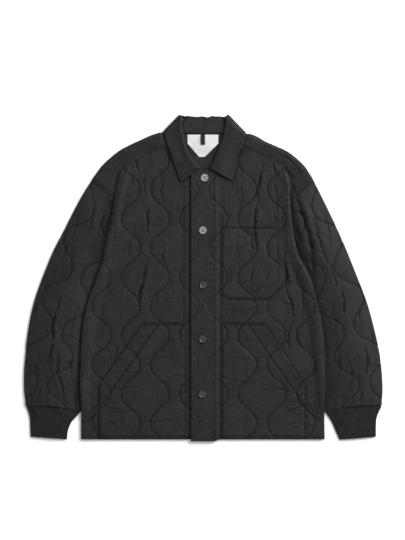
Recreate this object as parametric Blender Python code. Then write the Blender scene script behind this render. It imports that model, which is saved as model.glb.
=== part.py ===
"""A quilted jacket lying flat on its back: fastened, collar turned down, sleeves beside the body.

Metres, +Z up. The surface it lies on is z = 0. The collar points to +Y and the hem to -Y. Left is -X and
right is +X, as seen from above. Tables and lengths are in millimetres, and build_mesh scales them.

In the tables, "out" is the distance from the centre line on either side, so x = side * out.
"""

import math
from typing import NamedTuple

import bpy
import numpy as np

MM = 0.001
LEFT, RIGHT = -1, 1
SIDE_NAMES = {LEFT: "left", RIGHT: "right"}

# Walls of cloth
QUILT = 2.6  # shell, light wadding and backing
PLAIN = 1.6  # unquilted cloth, two layers
FALL = 2.4  # turned collar, interlined
RIB = 2.2
PATCH = 0.8
LOOP = 1.2
SEAM = 0.35  # between pieces that are sewn edge to edge
LAYER = 0.4  # between pieces that lie on each other
AIR = 1.2  # between the back and the fronts

# Heights of the middle of each wall above the surface
BACK_MID = QUILT / 2
FRONT_MID = BACK_MID + QUILT + AIR
PLACKET_LIFT = QUILT + LAYER  # the right front where it laps over the left
POCKET_MID = FRONT_MID + QUILT + LAYER
PLACKET_TOP = FRONT_MID + PLACKET_LIFT + QUILT / 2

# Placket, on the right front
PLACKET_EDGE = -30.0
PLACKET_FLAT_TO = 24.0
PLACKET_SLOPE_TO = 42.0
UNDERLAY_EDGE = 21.0  # how far the left front reaches under the placket
PLACKET_HEM = -391.5
HEM = -387.0
HEM_BACK = -385.5

# Sleeve
SLEEVE_FOLD = 1.6  # radius of the middle of the wall round each edge
SLEEVE_UPPER_MID = QUILT / 2 + 2 * SLEEVE_FOLD
SLEEVE_EDGE_HEIGHT = 2 * QUILT + 2 * (SLEEVE_FOLD - QUILT / 2)
SLEEVE_PUFF = 3.0
SLEEVE_END_PUFF = 0.3  # share of it that is left at the cuff
SLEEVE_LOW = 2.5  # how far past the body's edge the sleeve stays low
SLEEVE_CLEAR_Y = -285.0  # below here the sleeve lies beside the body
SLEEVE_TUCK = 12.0  # how far the sleeve lies under the edge of the body
SLEEVE_TOP = {"inner": 178.0, "outer": 233.0}
CUFF_SEAM = {"inner": -321.0, "outer": -306.0}
CUFF_SEAM_BOW = 6.0
CUFF_FOLD = RIB / 2 + 0.3
CUFF_PUFF = 1.2

# Yoke, folded over the shoulder
YOKE_UPPER_MID = FRONT_MID + 0.2

# Body over the sleeve
SIDE_LIFT = SLEEVE_EDGE_HEIGHT + LAYER
SIDE_SLOPE = 24.0
UNDERARM = 5.0
ARMHOLE_LIFT = SLEEVE_UPPER_MID + QUILT + LAYER - FRONT_MID
ARMHOLE_SLOPE = 14.0
ARMHOLE_TOP = 267.0
ARMHOLE_TOP_FADE = 19.0
UNDERARM_FADE = 38.0
EDGE_REST = 1.5  # width beside each edge that has risen in full
SIDE_LIFT_END = -345.0  # lowest height at which the sides still rise
SIDE_LIFT_FADE = 50.0
TUCK_END = -292.0  # lowest height at which the sleeve lies under the body
TUCK_FADE = 120.0

# Collar
NECK_LIFT = FALL + LAYER  # the turned-down back of the collar lies under the back
COLLAR_TOP = 392.5
NECK_LIFT_Y = 292.0
NECK_LIFT_RISE = 30.0
NECK_LIFT_OUT = 138.0
NECK_LIFT_FADE = 34.0
ROLL = 1.5  # radius of the middle of the wall at the roll line
LEAF_MID = 13.2
ROLL_SEAM = SEAM + 0.2  # from the roll to the stand
FOLD_DEPTH = 4.0


class EdgeRow(NamedTuple):
    """One height of an outline that runs down both sides."""

    y: float
    left: float
    right: float


# Edge of the body, from the end of the yoke seam to the hem
BODY_EDGE = (
    EdgeRow(y=267, left=189, right=190),
    EdgeRow(y=246, left=200, right=202),
    EdgeRow(y=226, left=206, right=208),
    EdgeRow(y=186, left=214, right=208),
    EdgeRow(y=146, left=220, right=211),
    EdgeRow(y=112, left=227, right=215),
    EdgeRow(y=78, left=236, right=221),
    EdgeRow(y=48, left=242, right=230),
    EdgeRow(y=22, left=248, right=245),
    EdgeRow(y=-16, left=261, right=262),
    EdgeRow(y=-60, left=277, right=272),
    EdgeRow(y=-110, left=288, right=284),
    EdgeRow(y=-170, left=293, right=290),
    EdgeRow(y=-240, left=295, right=291),
    EdgeRow(y=-317, left=293, right=290),
    EdgeRow(y=-387, left=293, right=291),
)

# Outer edge of the sleeves
SLEEVE_EDGE = (
    EdgeRow(y=233, left=269, right=265),
    EdgeRow(y=197, left=291, right=283),
    EdgeRow(y=150, left=316, right=306),
    EdgeRow(y=112, left=335, right=324),
    EdgeRow(y=68, left=358, right=343),
    EdgeRow(y=13, left=381, right=365),
    EdgeRow(y=-51, left=404, right=390),
    EdgeRow(y=-130, left=421, right=412),
    EdgeRow(y=-182, left=427, right=423),
    EdgeRow(y=-226, left=430, right=428),
    EdgeRow(y=-265, left=430, right=430),
    EdgeRow(y=-306, left=426, right=428),
)


class YokeRow(NamedTuple):
    """One line across the shoulder, from the seam on the front, over the fold, to the seam on the back."""

    front_out: float
    front_y: float
    left_out: float
    left_y: float
    right_out: float
    right_y: float
    back_out: float
    back_y: float


# From the neck to the end of the seam with the front
YOKE = (
    YokeRow(74, 321, 84, 348, 85, 347, 64, 346),
    YokeRow(86, 315.5, 97, 345, 100, 343, 78, 338),
    YokeRow(101, 309, 116, 342, 118, 340, 96, 327),
    YokeRow(130, 296, 148, 331, 148, 327, 123, 311),
    YokeRow(160, 282, 176, 318, 175, 315, 153, 292),
    YokeRow(191.5, 269, 206, 300, 205, 300, 190.5, 271),
)


class TuckedYokeRow(NamedTuple):
    """One line across the part of the yoke whose lower edge lies under the front's armhole edge."""

    y: float
    under: float
    left_out: float
    left_y: float
    right_out: float
    right_y: float
    front_mid: float


# From there to the sleeve seam
YOKE_TUCKED = (
    TuckedYokeRow(257, -1, 223, 286, 222, 287, 4.1),
    TuckedYokeRow(240, 4, 242, 268, 242, 268, 3.0),
    TuckedYokeRow(212, 9, 257, 248, 255, 248, 3.4),
    TuckedYokeRow(178, SLEEVE_TUCK, 269, 233, 265, 233, SLEEVE_UPPER_MID),
)

# Where the neckline of each front runs, from its yoke seam to the centre
NECKLINE = (
    (73.5, 321),
    (68, 308),
    (57, 293),
    (38, 273),
    (16, 260),
)
NECKLINE_CENTRE_Y = 256.0
BACK_NECK_Y = 347.0
BACK_CUTAWAY_Y = -30.0  # from here up the back stops short of the sleeve


class CuffRow(NamedTuple):
    """One line across the cuff, from its inner edge to its outer edge."""

    inner_out: float
    inner_y: float
    outer_out: float
    outer_y: float


CUFF = {
    LEFT: (
        CuffRow(294, -321, 426, -306),
        CuffRow(306, -334, 419, -324),
        CuffRow(317, -347, 416, -338),
        CuffRow(325, -368, 415, -360),
        CuffRow(327, -387, 414, -381),
    ),
    RIGHT: (
        CuffRow(291, -321, 428, -309),
        CuffRow(302, -335, 419, -326),
        CuffRow(311, -351, 415, -340),
        CuffRow(318, -368, 414, -361),
        CuffRow(327, -388, 414, -381),
    ),
}


class CollarRow(NamedTuple):
    """One line across the collar: from the neck seam up to the roll line and down to the free edge."""

    neck_x: float
    neck_y: float
    roll_x: float
    roll_y: float
    free_x: float
    free_y: float
    neck_mid: float
    roll_mid: float
    free_mid: float


# From each front end up to the fold at the side of the neck
COLLAR_LEAF = {
    LEFT: (
        CollarRow(-24, 257, -7, 264, -55, 229, 10.8, 13.6, 8.6),
        CollarRow(-43, 271, -24, 283, -63, 254, 9.0, 13.4, 9.0),
        CollarRow(-63, 292, -39, 308, -73, 282, 8.6, LEAF_MID, 10.0),
        CollarRow(-74, 314, -46, 338, -83, 312, 10.2, LEAF_MID, 12.2),
        CollarRow(-79, 334, -51, 365, -91, 334, 10.4, LEAF_MID, 12.8),
    ),
    RIGHT: (
        CollarRow(28, 256, 16, 262, 69, 232, 10.8, 13.6, 8.6),
        CollarRow(45, 271, 27, 286, 75, 256, 9.0, 13.4, 9.0),
        CollarRow(63, 292, 37, 311, 82, 285, 8.6, LEAF_MID, 10.0),
        CollarRow(74, 314, 47, 338, 91, 315, 10.2, LEAF_MID, 12.2),
        CollarRow(79, 334, 52, 364, 97, 335, 10.4, LEAF_MID, 12.8),
    ),
}
COLLAR_FOLD = {
    LEFT: CollarRow(-84, 351, -56.5, COLLAR_TOP, -97.5, 350, 9.6, 11.6, 12.4),
    RIGHT: CollarRow(86, 350, 59, COLLAR_TOP, 102.5, 348, 9.6, 11.6, 12.4),
}
COLLAR_BACK = (
    CollarRow(-50, 347, -33, 388, -58, 336, 7.2, FALL / 2, FALL / 2),
    CollarRow(0, 345, 1, 386, 0, 328, 7.2, FALL / 2, FALL / 2),
    CollarRow(50, 347, 35, 388, 60, 336, 7.2, FALL / 2, FALL / 2),
)


class PanelRow(NamedTuple):
    """One level of a flat patch: its height and where it starts and ends."""

    y: float
    start: float
    end: float


POCKET_TOP, POCKET_HEM = -110.5, -384.5
POCKET = {
    LEFT: {"inner": -42.0, "top": -145.0, "outer": -251.0, "slant_end": -259.0},
    RIGHT: {"inner": 42.5, "top": 147.0, "outer": 246.0, "slant_end": -261.0},
}
CHEST = {"left": 42.5, "right": 177.0, "top": 118.0, "bottom": -51.0, "corner": 20.0}
CHEST_LEVELS = (62.0, 15.0)
PANEL_SHARES = (0, 0.25, 0.5, 0.75, 1.0)

PATCH_ROWS = (
    PanelRow(y=343.5, start=-38, end=36),
    PanelRow(y=322, start=-38, end=36),
    PanelRow(y=290, start=-10, end=3),
)
LOOP_ROWS = (
    PanelRow(y=343.5, start=-6, end=4),
    PanelRow(y=332, start=-6, end=4),
    PanelRow(y=319, start=-6, end=4),
)


class ButtonRow(NamedTuple):
    """Where a button is sewn."""

    x: float
    y: float


BUTTONS = (
    ButtonRow(3, 240),
    ButtonRow(-1, 114),
    ButtonRow(0, -16),
    ButtonRow(-1, -146),
    ButtonRow(-2, -278),
)
BUTTON_RADIUS = 9.3
BUTTON_HEIGHT = 3.2
BUTTON_DISH = 0.8
BUTTON_HOLE_RADIUS = 1.0
BUTTON_HOLE_PLACE = 2.5
BUTTON_SIDES = 24
DRILL_SIDES = 8
DRILL_TURN = 0.3
PALE_BUTTONS = 2  # the first ones from the neck

CHARCOAL = (0.045, 0.046, 0.048)
RIB_CHARCOAL = (0.032, 0.033, 0.035)
WHITE = (0.80, 0.80, 0.79)
GREY_HORN = (0.11, 0.11, 0.115)
PALE_HORN = (0.55, 0.55, 0.55)


# ---------------------------------------------------------------- curves and heights


def ease(t):
    """A smooth step: 0 up to t = 0, 1 from t = 1."""
    t = np.clip(t, 0.0, 1.0)
    return t * t * (3.0 - 2.0 * t)


def smooth(at, places, values):
    """The smooth curve through (place, value) pairs, read at the given places."""
    places = np.asarray(places, float)
    values = np.asarray(values, float)
    slopes = np.gradient(values, places)
    at = np.clip(np.asarray(at, float), places[0], places[-1])
    i = np.clip(np.searchsorted(places, at) - 1, 0, len(places) - 2)
    step = places[i + 1] - places[i]
    t = (at - places[i]) / step
    start = (1 + 2 * t) * (1 - t) ** 2 * values[i] + t * (1 - t) ** 2 * step * slopes[i]
    end = t * t * (3 - 2 * t) * values[i + 1] + t * t * (t - 1) * step * slopes[i + 1]
    return start + end


def edge_out(table, side, y):
    """How far out an edge table runs at the heights y."""
    rows = sorted(table)
    column = [row.left if side == LEFT else row.right for row in rows]
    return smooth(y, [row.y for row in rows], column)


def tuck(y):
    """How far the sleeve lies under the body's edge: nothing at the cuff, all of it higher up."""
    return SLEEVE_TUCK * ease((np.asarray(y, float) - TUCK_END) / TUCK_FADE)


def neck_lift(x, y):
    """How much the layers rise over the part of the collar that lies under the back."""
    up = ease((y - NECK_LIFT_Y) / NECK_LIFT_RISE)
    return NECK_LIFT * up * ease((NECK_LIFT_OUT - abs(x)) / NECK_LIFT_FADE)


def side_lift(side, x, y):
    """How much both layers of the body rise over the tucked edge of the sleeve."""
    past = side * x - (edge_out(BODY_EDGE, side, y) - tuck(y))
    under_arm = 1.0 - ease((y - UNDERARM) / UNDERARM_FADE)
    above_hem = ease((y - SIDE_LIFT_END) / SIDE_LIFT_FADE)
    return SIDE_LIFT * ease((past + SIDE_SLOPE) / (SIDE_SLOPE - EDGE_REST)) * under_arm * above_hem


def armhole_lift(side, x, y):
    """How much the front alone rises where it laps over the yoke and the top of the sleeve."""
    past = side * x - (edge_out(BODY_EDGE, side, y) - SLEEVE_TUCK)
    over_arm = ease((y - UNDERARM) / UNDERARM_FADE)
    below_seam = ease((ARMHOLE_TOP - y) / ARMHOLE_TOP_FADE)
    rise = ease((past + ARMHOLE_SLOPE) / (ARMHOLE_SLOPE - EDGE_REST))
    return ARMHOLE_LIFT * rise * over_arm * below_seam


def back_mid(side, x, y):
    """Height of the middle of the back's wall."""
    return BACK_MID + neck_lift(x, y) + side_lift(side, x, y)


def front_mid(side, x, y):
    """Height of the middle of a front's wall, without the placket's lap."""
    return FRONT_MID + neck_lift(x, y) + side_lift(side, x, y) + armhole_lift(side, x, y)


# ---------------------------------------------------------------- meshes


def clear_scene():
    """Start from an empty file."""
    for obj in list(bpy.data.objects):
        bpy.data.objects.remove(obj, do_unlink=True)


def material(name, colour, roughness, metallic=0.0):
    """The named Principled material, made once."""
    found = bpy.data.materials.get(name)
    if found:
        return found
    made = bpy.data.materials.new(name)
    made.use_nodes = True
    shader = made.node_tree.nodes["Principled BSDF"]
    shader.inputs["Base Color"].default_value = (*colour, 1.0)
    shader.inputs["Roughness"].default_value = roughness
    shader.inputs["Metallic"].default_value = metallic
    return made


def quilted():
    """The finish of the quilted shell cloth."""
    return material("quilted_cloth", CHARCOAL, 0.82)


def plain():
    """The finish of the same cloth without quilting."""
    return material("plain_cloth", CHARCOAL, 0.85)


def rib():
    """The finish of the knitted cuffs."""
    return material("rib_knit", RIB_CHARCOAL, 0.92)


def build_mesh(name, points, faces, finish):
    """An object from points in millimetres."""
    mesh = bpy.data.meshes.new(name)
    mesh.from_pydata([tuple(p) for p in np.asarray(points) * MM], [], faces)
    mesh.shade_smooth()
    mesh.materials.append(finish)
    mesh.validate()
    obj = bpy.data.objects.new(name, mesh)
    bpy.context.scene.collection.objects.link(obj)
    return obj


def cloth(name, middle, wall, finish, tube=False):
    """A wall of cloth from a grid of the middle of the wall, rows by columns by xyz."""
    rows, columns, _ = middle.shape
    across = columns if tube else columns - 1
    faces = [
        (
            r * columns + c,
            r * columns + (c + 1) % columns,
            (r + 1) * columns + (c + 1) % columns,
            (r + 1) * columns + c,
        )
        for r in range(rows - 1)
        for c in range(across)
    ]
    obj = build_mesh(name, middle.reshape(-1, 3), faces, finish)
    solidify = obj.modifiers.new("Wall", "SOLIDIFY")
    solidify.thickness = wall * MM
    solidify.offset = 0.0
    solidify.use_even_offset = True
    solidify.use_quality_normals = True
    return obj


def stack(x, y, z):
    """One grid of points from grids of x, y and z."""
    return np.stack(np.broadcast_arrays(x, y, z), axis=-1).astype(float)


# ---------------------------------------------------------------- body


# Heights of the rows of a body panel, closest where it bends
ROWS_TO_UNDERARM = (-387, -345, -318, -292, -245, -190, -120, -60, -30, -12, UNDERARM)
ROWS_TO_YOKE = (18, 30, 43, 80, 125, 178, 212, 240, 257, 267)
BODY_ROWS = np.array(ROWS_TO_UNDERARM + ROWS_TO_YOKE, float)
ROW_SHARES = (BODY_ROWS - BODY_ROWS[0]) / (BODY_ROWS[-1] - BODY_ROWS[0])
# Distances of the columns from the side edge of a body panel, where it bends
SIDE_COLUMNS = np.array([38, 29, 21, 13.5, 6.5, 0], float)
# Shares of the width between the fixed columns and those
FRONT_SHARES = (0.22, 0.44, 0.68, 0.9)
BACK_SHARES = (0.0, 0.19, 0.38, 0.62, 0.86)
LEFT_FRONT_COLUMNS = (-16, -60)
RIGHT_FRONT_COLUMNS = (-3, PLACKET_FLAT_TO, 29, 33, 37, PLACKET_SLOPE_TO, 72)


def front_top_y(out):
    """Height of a front's upper edge: the neckline, then the yoke seam."""
    neck = sorted(NECKLINE)
    neck_out = [-UNDERLAY_EDGE, 0] + [row[0] for row in neck]
    neck_y = [NECKLINE_CENTRE_Y, NECKLINE_CENTRE_Y + 1] + [row[1] for row in neck]
    seam_out = [row.front_out for row in YOKE]
    seam_y = [row.front_y - 2 * SEAM for row in YOKE]
    on_neck = np.interp(out, neck_out, neck_y)
    on_seam = np.interp(out, seam_out, seam_y)
    return np.where(out < seam_out[0], on_neck, on_seam)


def front_grid(side, inner, fixed):
    """Points of a front: from its centre edge, through the fixed columns, to the side edge."""
    end = edge_out(BODY_EDGE, side, BODY_ROWS)
    columns = [np.full(len(BODY_ROWS), float(x) * side) for x in (inner, *fixed)]
    last = columns[-1]
    columns += [last + (end - SIDE_COLUMNS[0] - last) * share for share in FRONT_SHARES]
    columns += [end - distance for distance in SIDE_COLUMNS]
    out = np.stack(columns, axis=1)
    top = front_top_y(out[-1])
    hem = np.full(len(top), HEM)
    if side == RIGHT:
        hem[out[0] < PLACKET_FLAT_TO] = PLACKET_HEM
    y = hem + (top - hem) * ROW_SHARES[:, None]
    y[:, -1] = BODY_ROWS
    x = side * out
    z = front_mid(side, x, y)
    if side == RIGHT:
        slope = PLACKET_SLOPE_TO - PLACKET_FLAT_TO
        z = z + PLACKET_LIFT * ease((PLACKET_SLOPE_TO - x) / slope)
    return stack(x, y, z)


def build_fronts():
    """The left front runs under the right one, whose placket laps over it."""
    left = front_grid(LEFT, UNDERLAY_EDGE, LEFT_FRONT_COLUMNS)
    cloth("front_left", left, QUILT, quilted())
    right = front_grid(RIGHT, PLACKET_EDGE, RIGHT_FRONT_COLUMNS)
    cloth("front_right", right, QUILT, quilted())


def back_out(side, y):
    """How far out the back reaches: over the sleeve below the underarm, only up to it above."""
    edge = edge_out(BODY_EDGE, side, y)
    rows = sorted((row.y, row.under) for row in YOKE_TUCKED)
    under = np.interp(y, [row[0] for row in rows], [row[1] for row in rows])
    beside_sleeve = ease((y - BACK_CUTAWAY_Y) / (UNDERARM - BACK_CUTAWAY_Y))
    return edge - (under + LAYER) * beside_sleeve


def back_top_y(out):
    """Height of the back's upper edge: the neck seam, then the yoke seams."""
    at = [0.0] + [row.back_out for row in YOKE]
    y = [BACK_NECK_Y] + [row.back_y - 2 * SEAM for row in YOKE]
    return np.interp(out, at, y)


def build_back():
    """One panel from side to side, made as two halves that share their centre column."""
    halves = []
    for side in (LEFT, RIGHT):
        end = back_out(side, BODY_ROWS)
        columns = [(end - SIDE_COLUMNS[0]) * share for share in BACK_SHARES]
        columns += [end - distance for distance in SIDE_COLUMNS]
        out = np.stack(columns, axis=1)
        top = back_top_y(out[-1])
        y = HEM_BACK + (top - HEM_BACK) * ROW_SHARES[:, None]
        y[:, -1] = BODY_ROWS
        y[0] = HEM_BACK
        x = side * out
        halves.append(stack(x, y, back_mid(side, x, y)))
    left, right = halves
    cloth("back", np.concatenate([left[:, :0:-1], right], axis=1), QUILT, quilted())


def yoke_line(front, fold, back, front_mid):
    """Points across a yoke: up the front, round the fold and down the back, each end given as (out, y)."""
    upper, lower = YOKE_UPPER_MID, PLAIN / 2
    radius = (upper - lower) / 2
    front, fold, back = (np.array(end, float) for end in (front, fold, back))
    toward = (fold - front) / np.linalg.norm(fold - front)
    axis = fold - toward * (radius + PLAIN / 2)
    points = []
    for share in (0, 0.33, 0.66):
        points.append((*(front + (axis - front) * share), front_mid + (upper - front_mid) * ease(share)))
    for angle in np.radians([90, 45, 0, -45, -90]):
        points.append((*(axis + toward * radius * math.cos(angle)), lower + radius * (1 + math.sin(angle))))
    for share in (0.4, 0.75, 1.0):
        points.append((*(axis + (back - axis) * share), lower))
    return points


def build_yokes():
    """Each yoke folds over its shoulder, and its ends are the neck and the sleeve seam."""
    for side in (LEFT, RIGHT):
        name = SIDE_NAMES[side]
        lines = []
        for row in YOKE:
            fold = (row.left_out, row.left_y) if side == LEFT else (row.right_out, row.right_y)
            ends = ((row.front_out, row.front_y), fold, (row.back_out, row.back_y))
            lines.append(yoke_line(*ends, FRONT_MID))
        for row in YOKE_TUCKED:
            fold = (row.left_out, row.left_y) if side == LEFT else (row.right_out, row.right_y)
            hidden = (float(edge_out(BODY_EDGE, side, row.y)) - row.under, row.y)
            lines.append(yoke_line(hidden, fold, hidden, row.front_mid))
        grid = np.array(lines)
        grid[..., 2] += neck_lift(grid[..., 0], grid[..., 1])
        grid[..., 0] *= side
        cloth(f"yoke_{name}", grid, PLAIN, plain())


def tube_section(inner, outer, fold, wall, puff, flat, bow):
    """One ring of a flattened tube: out along the top, round the outer edge and back along the bottom.

    fold is the radius of the middle of the wall round each edge, puff the height of the hump on top, flat the
    width that stays low by the inner edge, and bow how far the middle of the ring is set along the tube."""
    along = outer - inner
    width = np.linalg.norm(along)
    along = along / width
    low, high = wall / 2, wall / 2 + 2 * fold
    inset = wall / 2 + fold
    span = width - inset - max(flat, inset)
    shares = (0.0, 0.17, 0.4, 0.63, 0.83, 1.0)
    hump = (0.0, 0.6, 1.0, 0.95, 0.55, 0.0)
    turn = np.radians([45, 0, -45])

    def place(distance, height):
        point = inner + along * distance
        return (point[0], point[1] + bow * math.sin(math.pi * distance / width), height)

    hump_from = max(flat, inset)
    beside = [inset] if flat > inset else []
    points = [place(d, high) for d in beside]
    points += [place(hump_from + span * s, high + puff * h) for s, h in zip(shares, hump)]
    bottom = [place(d, low) for d in beside]
    bottom += [place(hump_from + span * s, low) for s in shares]
    points += [place(width - inset + fold * math.cos(a), low + fold * (1 + math.sin(a))) for a in turn]
    points += bottom[::-1]
    points += [place(inset - fold * math.cos(a), low + fold * (1 + math.sin(a))) for a in reversed(turn)]
    return points


def build_sleeves():
    """Each ring starts at a row of the body, so that the layers over it follow it."""
    top, seam = SLEEVE_TOP, CUFF_SEAM
    starts = [y for y in BODY_ROWS[::-1] if seam["inner"] < y < top["inner"]]
    starts = [top["inner"] - 3 * SEAM, *starts, seam["inner"] + SEAM]
    for side in (LEFT, RIGHT):
        rings = []
        for inner_y in starts:
            step = (top["inner"] - inner_y) / (top["inner"] - seam["inner"])
            outer_y = top["outer"] + (seam["outer"] - top["outer"]) * step
            inner_out = float(edge_out(BODY_EDGE, side, inner_y) - tuck(inner_y))
            if inner_y < SLEEVE_CLEAR_Y:
                inner_out += LAYER
            outer_out = float(edge_out(SLEEVE_EDGE, side, outer_y))
            above_cuff = ease((1.0 - step) / 0.2)
            puff = SLEEVE_PUFF * (SLEEVE_END_PUFF + (1 - SLEEVE_END_PUFF) * above_cuff)
            bow = CUFF_SEAM_BOW * ease((step - 0.75) / 0.25)
            inner = np.array([inner_out, inner_y])
            outer = np.array([outer_out, outer_y])
            flat = SLEEVE_TUCK + SLEEVE_LOW
            rings.append(tube_section(inner, outer, SLEEVE_FOLD, QUILT, puff, flat, bow))
        grid = np.array(rings)
        grid[..., 0] *= side
        cloth(f"sleeve_{SIDE_NAMES[side]}", grid, QUILT, quilted(), tube=True)


def build_cuffs():
    """Each cuff starts just below its sleeve, and its seam's bow fades out towards the free edge."""
    for side in (LEFT, RIGHT):
        rings = []
        for i, row in enumerate(CUFF[side]):
            gap = 2 * SEAM if i == 0 else 0.0
            inner = np.array([row.inner_out, row.inner_y - gap])
            outer = np.array([row.outer_out, row.outer_y - gap])
            bow = CUFF_SEAM_BOW * (1.0 - i / (len(CUFF[side]) - 1))
            rings.append(tube_section(inner, outer, CUFF_FOLD, RIB, CUFF_PUFF, 0.0, bow))
        grid = np.array(rings)
        grid[..., 0] *= side
        cloth(f"cuff_{SIDE_NAMES[side]}", grid, RIB, rib(), tube=True)


# ---------------------------------------------------------------- collar


def unit(vector):
    """The vector at length 1."""
    return vector / np.linalg.norm(vector)


def fall_line(row, normal):
    """Points across the turned-down collar, from under the roll, round it, and out to the free edge.

    normal is the way that the outer face looks."""
    roll = np.array([row.roll_x, row.roll_y, row.roll_mid])
    free = np.array([row.free_x, row.free_y, row.free_mid])
    across = unit((free - roll) * (1, 1, 0))
    start = roll + across * (FALL / 2)
    points = []
    for angle in (-90, -45, 0, 45, 90):
        a = math.radians(angle)
        points.append(start + across * ROLL * (1 - math.cos(a)) + normal * ROLL * (math.sin(a) - 1))
    first = points[-1]
    for t in (0.25, 0.5, 0.75, 1.0):
        point = first + (free - first) * t
        point[2] = free[2] + (first[2] - free[2]) * (1 - t * t)
        points.append(point)
    return points


def folded(row, angle):
    """The line of the side fold at an angle: 90 degrees on top, 0 at its edge, -90 underneath."""
    a = math.radians(angle)
    roll = np.array([row.roll_x, row.roll_y])
    free = np.array([row.free_x, row.free_y])
    along = unit(free - roll)
    outward = np.array([-along[1], along[0]])
    if outward[1] < 0:
        outward = -outward
    inset = FOLD_DEPTH * (1 - math.cos(a)) + FALL / 2
    low = FALL / 2
    shift = -outward * inset

    def height(top):
        return (top + low) / 2 + (top - low) / 2 * math.sin(a)

    moved = row._replace(
        roll_x=row.roll_x + shift[0],
        roll_y=row.roll_y + shift[1],
        free_x=row.free_x + shift[0],
        free_y=row.free_y + shift[1],
        roll_mid=height(row.roll_mid),
        free_mid=height(row.free_mid),
    )
    normal = np.array([outward[0] * math.cos(a), outward[1] * math.cos(a), math.sin(a)])
    return moved, normal


def collar_lines():
    """(row, normal) for each line across the collar, from the left end round the neck to the right."""
    up, down = np.array([0, 0, 1.0]), np.array([0, 0, -1.0])
    angles = (90, 50, 10, -30, -60, -90)
    lines = [(row, up) for row in COLLAR_LEAF[LEFT]]
    lines += [folded(COLLAR_FOLD[LEFT], angle) for angle in angles]
    lines += [(row, down) for row in COLLAR_BACK]
    lines += [folded(COLLAR_FOLD[RIGHT], angle) for angle in reversed(angles)]
    lines += [(row, up) for row in reversed(COLLAR_LEAF[RIGHT])]
    return lines


def build_collar_fall():
    """The turned-down part of the collar: two leaves in front, folded under the back of the neck."""
    grid = np.array([fall_line(row, normal) for row, normal in collar_lines()])
    cloth("collar_fall", grid, FALL, plain())


def build_collar_stand():
    """The band inside the collar, from the neck seam up to the edge of the roll."""
    lines = []
    for row, normal in collar_lines():
        roll_edge = np.array(fall_line(row, normal)[0])
        neck = np.array([row.neck_x, row.neck_y, row.neck_mid])
        across = unit((neck - roll_edge) * (1, 1, 0))
        start = roll_edge + across * ROLL_SEAM
        lines.append([start + (neck - start) * share for share in (0, 0.35, 0.7, 1.0)])
    cloth("collar_stand", np.array(lines), PLAIN, plain())


# ---------------------------------------------------------------- pockets, patch and loop


def patch_grid(rows, shares, height):
    """Points of a flat patch from its levels, each at the height that the function gives for x and y."""
    lines = []
    for row in rows:
        across = [row.start + (row.end - row.start) * share for share in shares]
        lines.append([(x, row.y, height(x, row.y)) for x in across])
    return np.array(lines)


def pocket_height(x, y):
    """Height of the middle of a pocket's wall, on top of the front."""
    return POCKET_MID


def build_pockets():
    """Two lower pockets with slanted openings, each a flat panel down to the hem."""
    for side in (LEFT, RIGHT):
        form = POCKET[side]
        rows = []
        for share in (0, 0.25, 0.5, 0.75, 1.0):
            y = POCKET_TOP + (form["slant_end"] - POCKET_TOP) * share
            rows.append(PanelRow(y, form["inner"], form["top"] + (form["outer"] - form["top"]) * share))
        for share in (0.5, 1.0):
            y = form["slant_end"] + (POCKET_HEM - form["slant_end"]) * share
            rows.append(PanelRow(y, form["inner"], form["outer"]))
        grid = patch_grid(rows, PANEL_SHARES, pocket_height)
        cloth(f"pocket_{SIDE_NAMES[side]}", grid, QUILT, quilted())


def build_chest_pocket():
    """A flat panel with rounded lower corners."""
    corner = CHEST["corner"]
    rows = [PanelRow(CHEST["top"], CHEST["left"], CHEST["right"])]
    for y in CHEST_LEVELS:
        rows.append(PanelRow(y, CHEST["left"], CHEST["right"]))
    for angle in (0, 22.5, 45, 67.5, 90):
        a = math.radians(angle)
        y = CHEST["bottom"] + corner * (1 - math.sin(a))
        inset = corner * (1 - math.cos(a))
        rows.append(PanelRow(y, CHEST["left"] + inset, CHEST["right"] - inset))
    grid = patch_grid(rows, PANEL_SHARES, pocket_height)
    cloth("chest_pocket", grid, QUILT, quilted())


def build_neck_patch():
    """A bare pentagon sewn inside the back, with the hanging loop down its middle."""

    def patch_height(x, y):
        return BACK_MID + neck_lift(x, y) + (QUILT + PATCH) / 2 + LAYER

    def loop_height(x, y):
        return patch_height(x, y) + (PATCH + LOOP) / 2 + LAYER

    finish = material("white_patch", WHITE, 0.7)
    cloth("neck_patch", patch_grid(PATCH_ROWS, (0, 0.5, 1.0), patch_height), PATCH, finish)
    cloth("hanger_loop", patch_grid(LOOP_ROWS, (0, 1.0), loop_height), LOOP, plain())


# ---------------------------------------------------------------- buttons


def button_mesh(name, finish):
    """A dished disc with a rounded rim, turned about Z from a short profile."""
    profile = (
        (0.0, 0.0),
        (BUTTON_RADIUS - 1.2, 0.0),
        (BUTTON_RADIUS, 1.2),
        (BUTTON_RADIUS, 2.0),
        (BUTTON_RADIUS - 0.9, BUTTON_HEIGHT),
        (BUTTON_RADIUS - 2.4, BUTTON_HEIGHT - BUTTON_DISH),
        (0.0, BUTTON_HEIGHT - BUTTON_DISH),
    )
    points, faces, rings = [], [], []
    for radius, height in profile:
        if radius == 0.0:
            rings.append([len(points)] * BUTTON_SIDES)
            points.append((0.0, 0.0, height))
            continue
        rings.append(range(len(points), len(points) + BUTTON_SIDES))
        for i in range(BUTTON_SIDES):
            a = 2 * math.pi * i / BUTTON_SIDES
            points.append((radius * math.cos(a), radius * math.sin(a), height))
    for lower, upper in zip(rings, rings[1:]):
        for i in range(BUTTON_SIDES):
            j = (i + 1) % BUTTON_SIDES
            corners = (lower[i], lower[j], upper[j], upper[i])
            faces.append(tuple(dict.fromkeys(corners)))
    return build_mesh(name, points, faces, finish)


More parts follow.
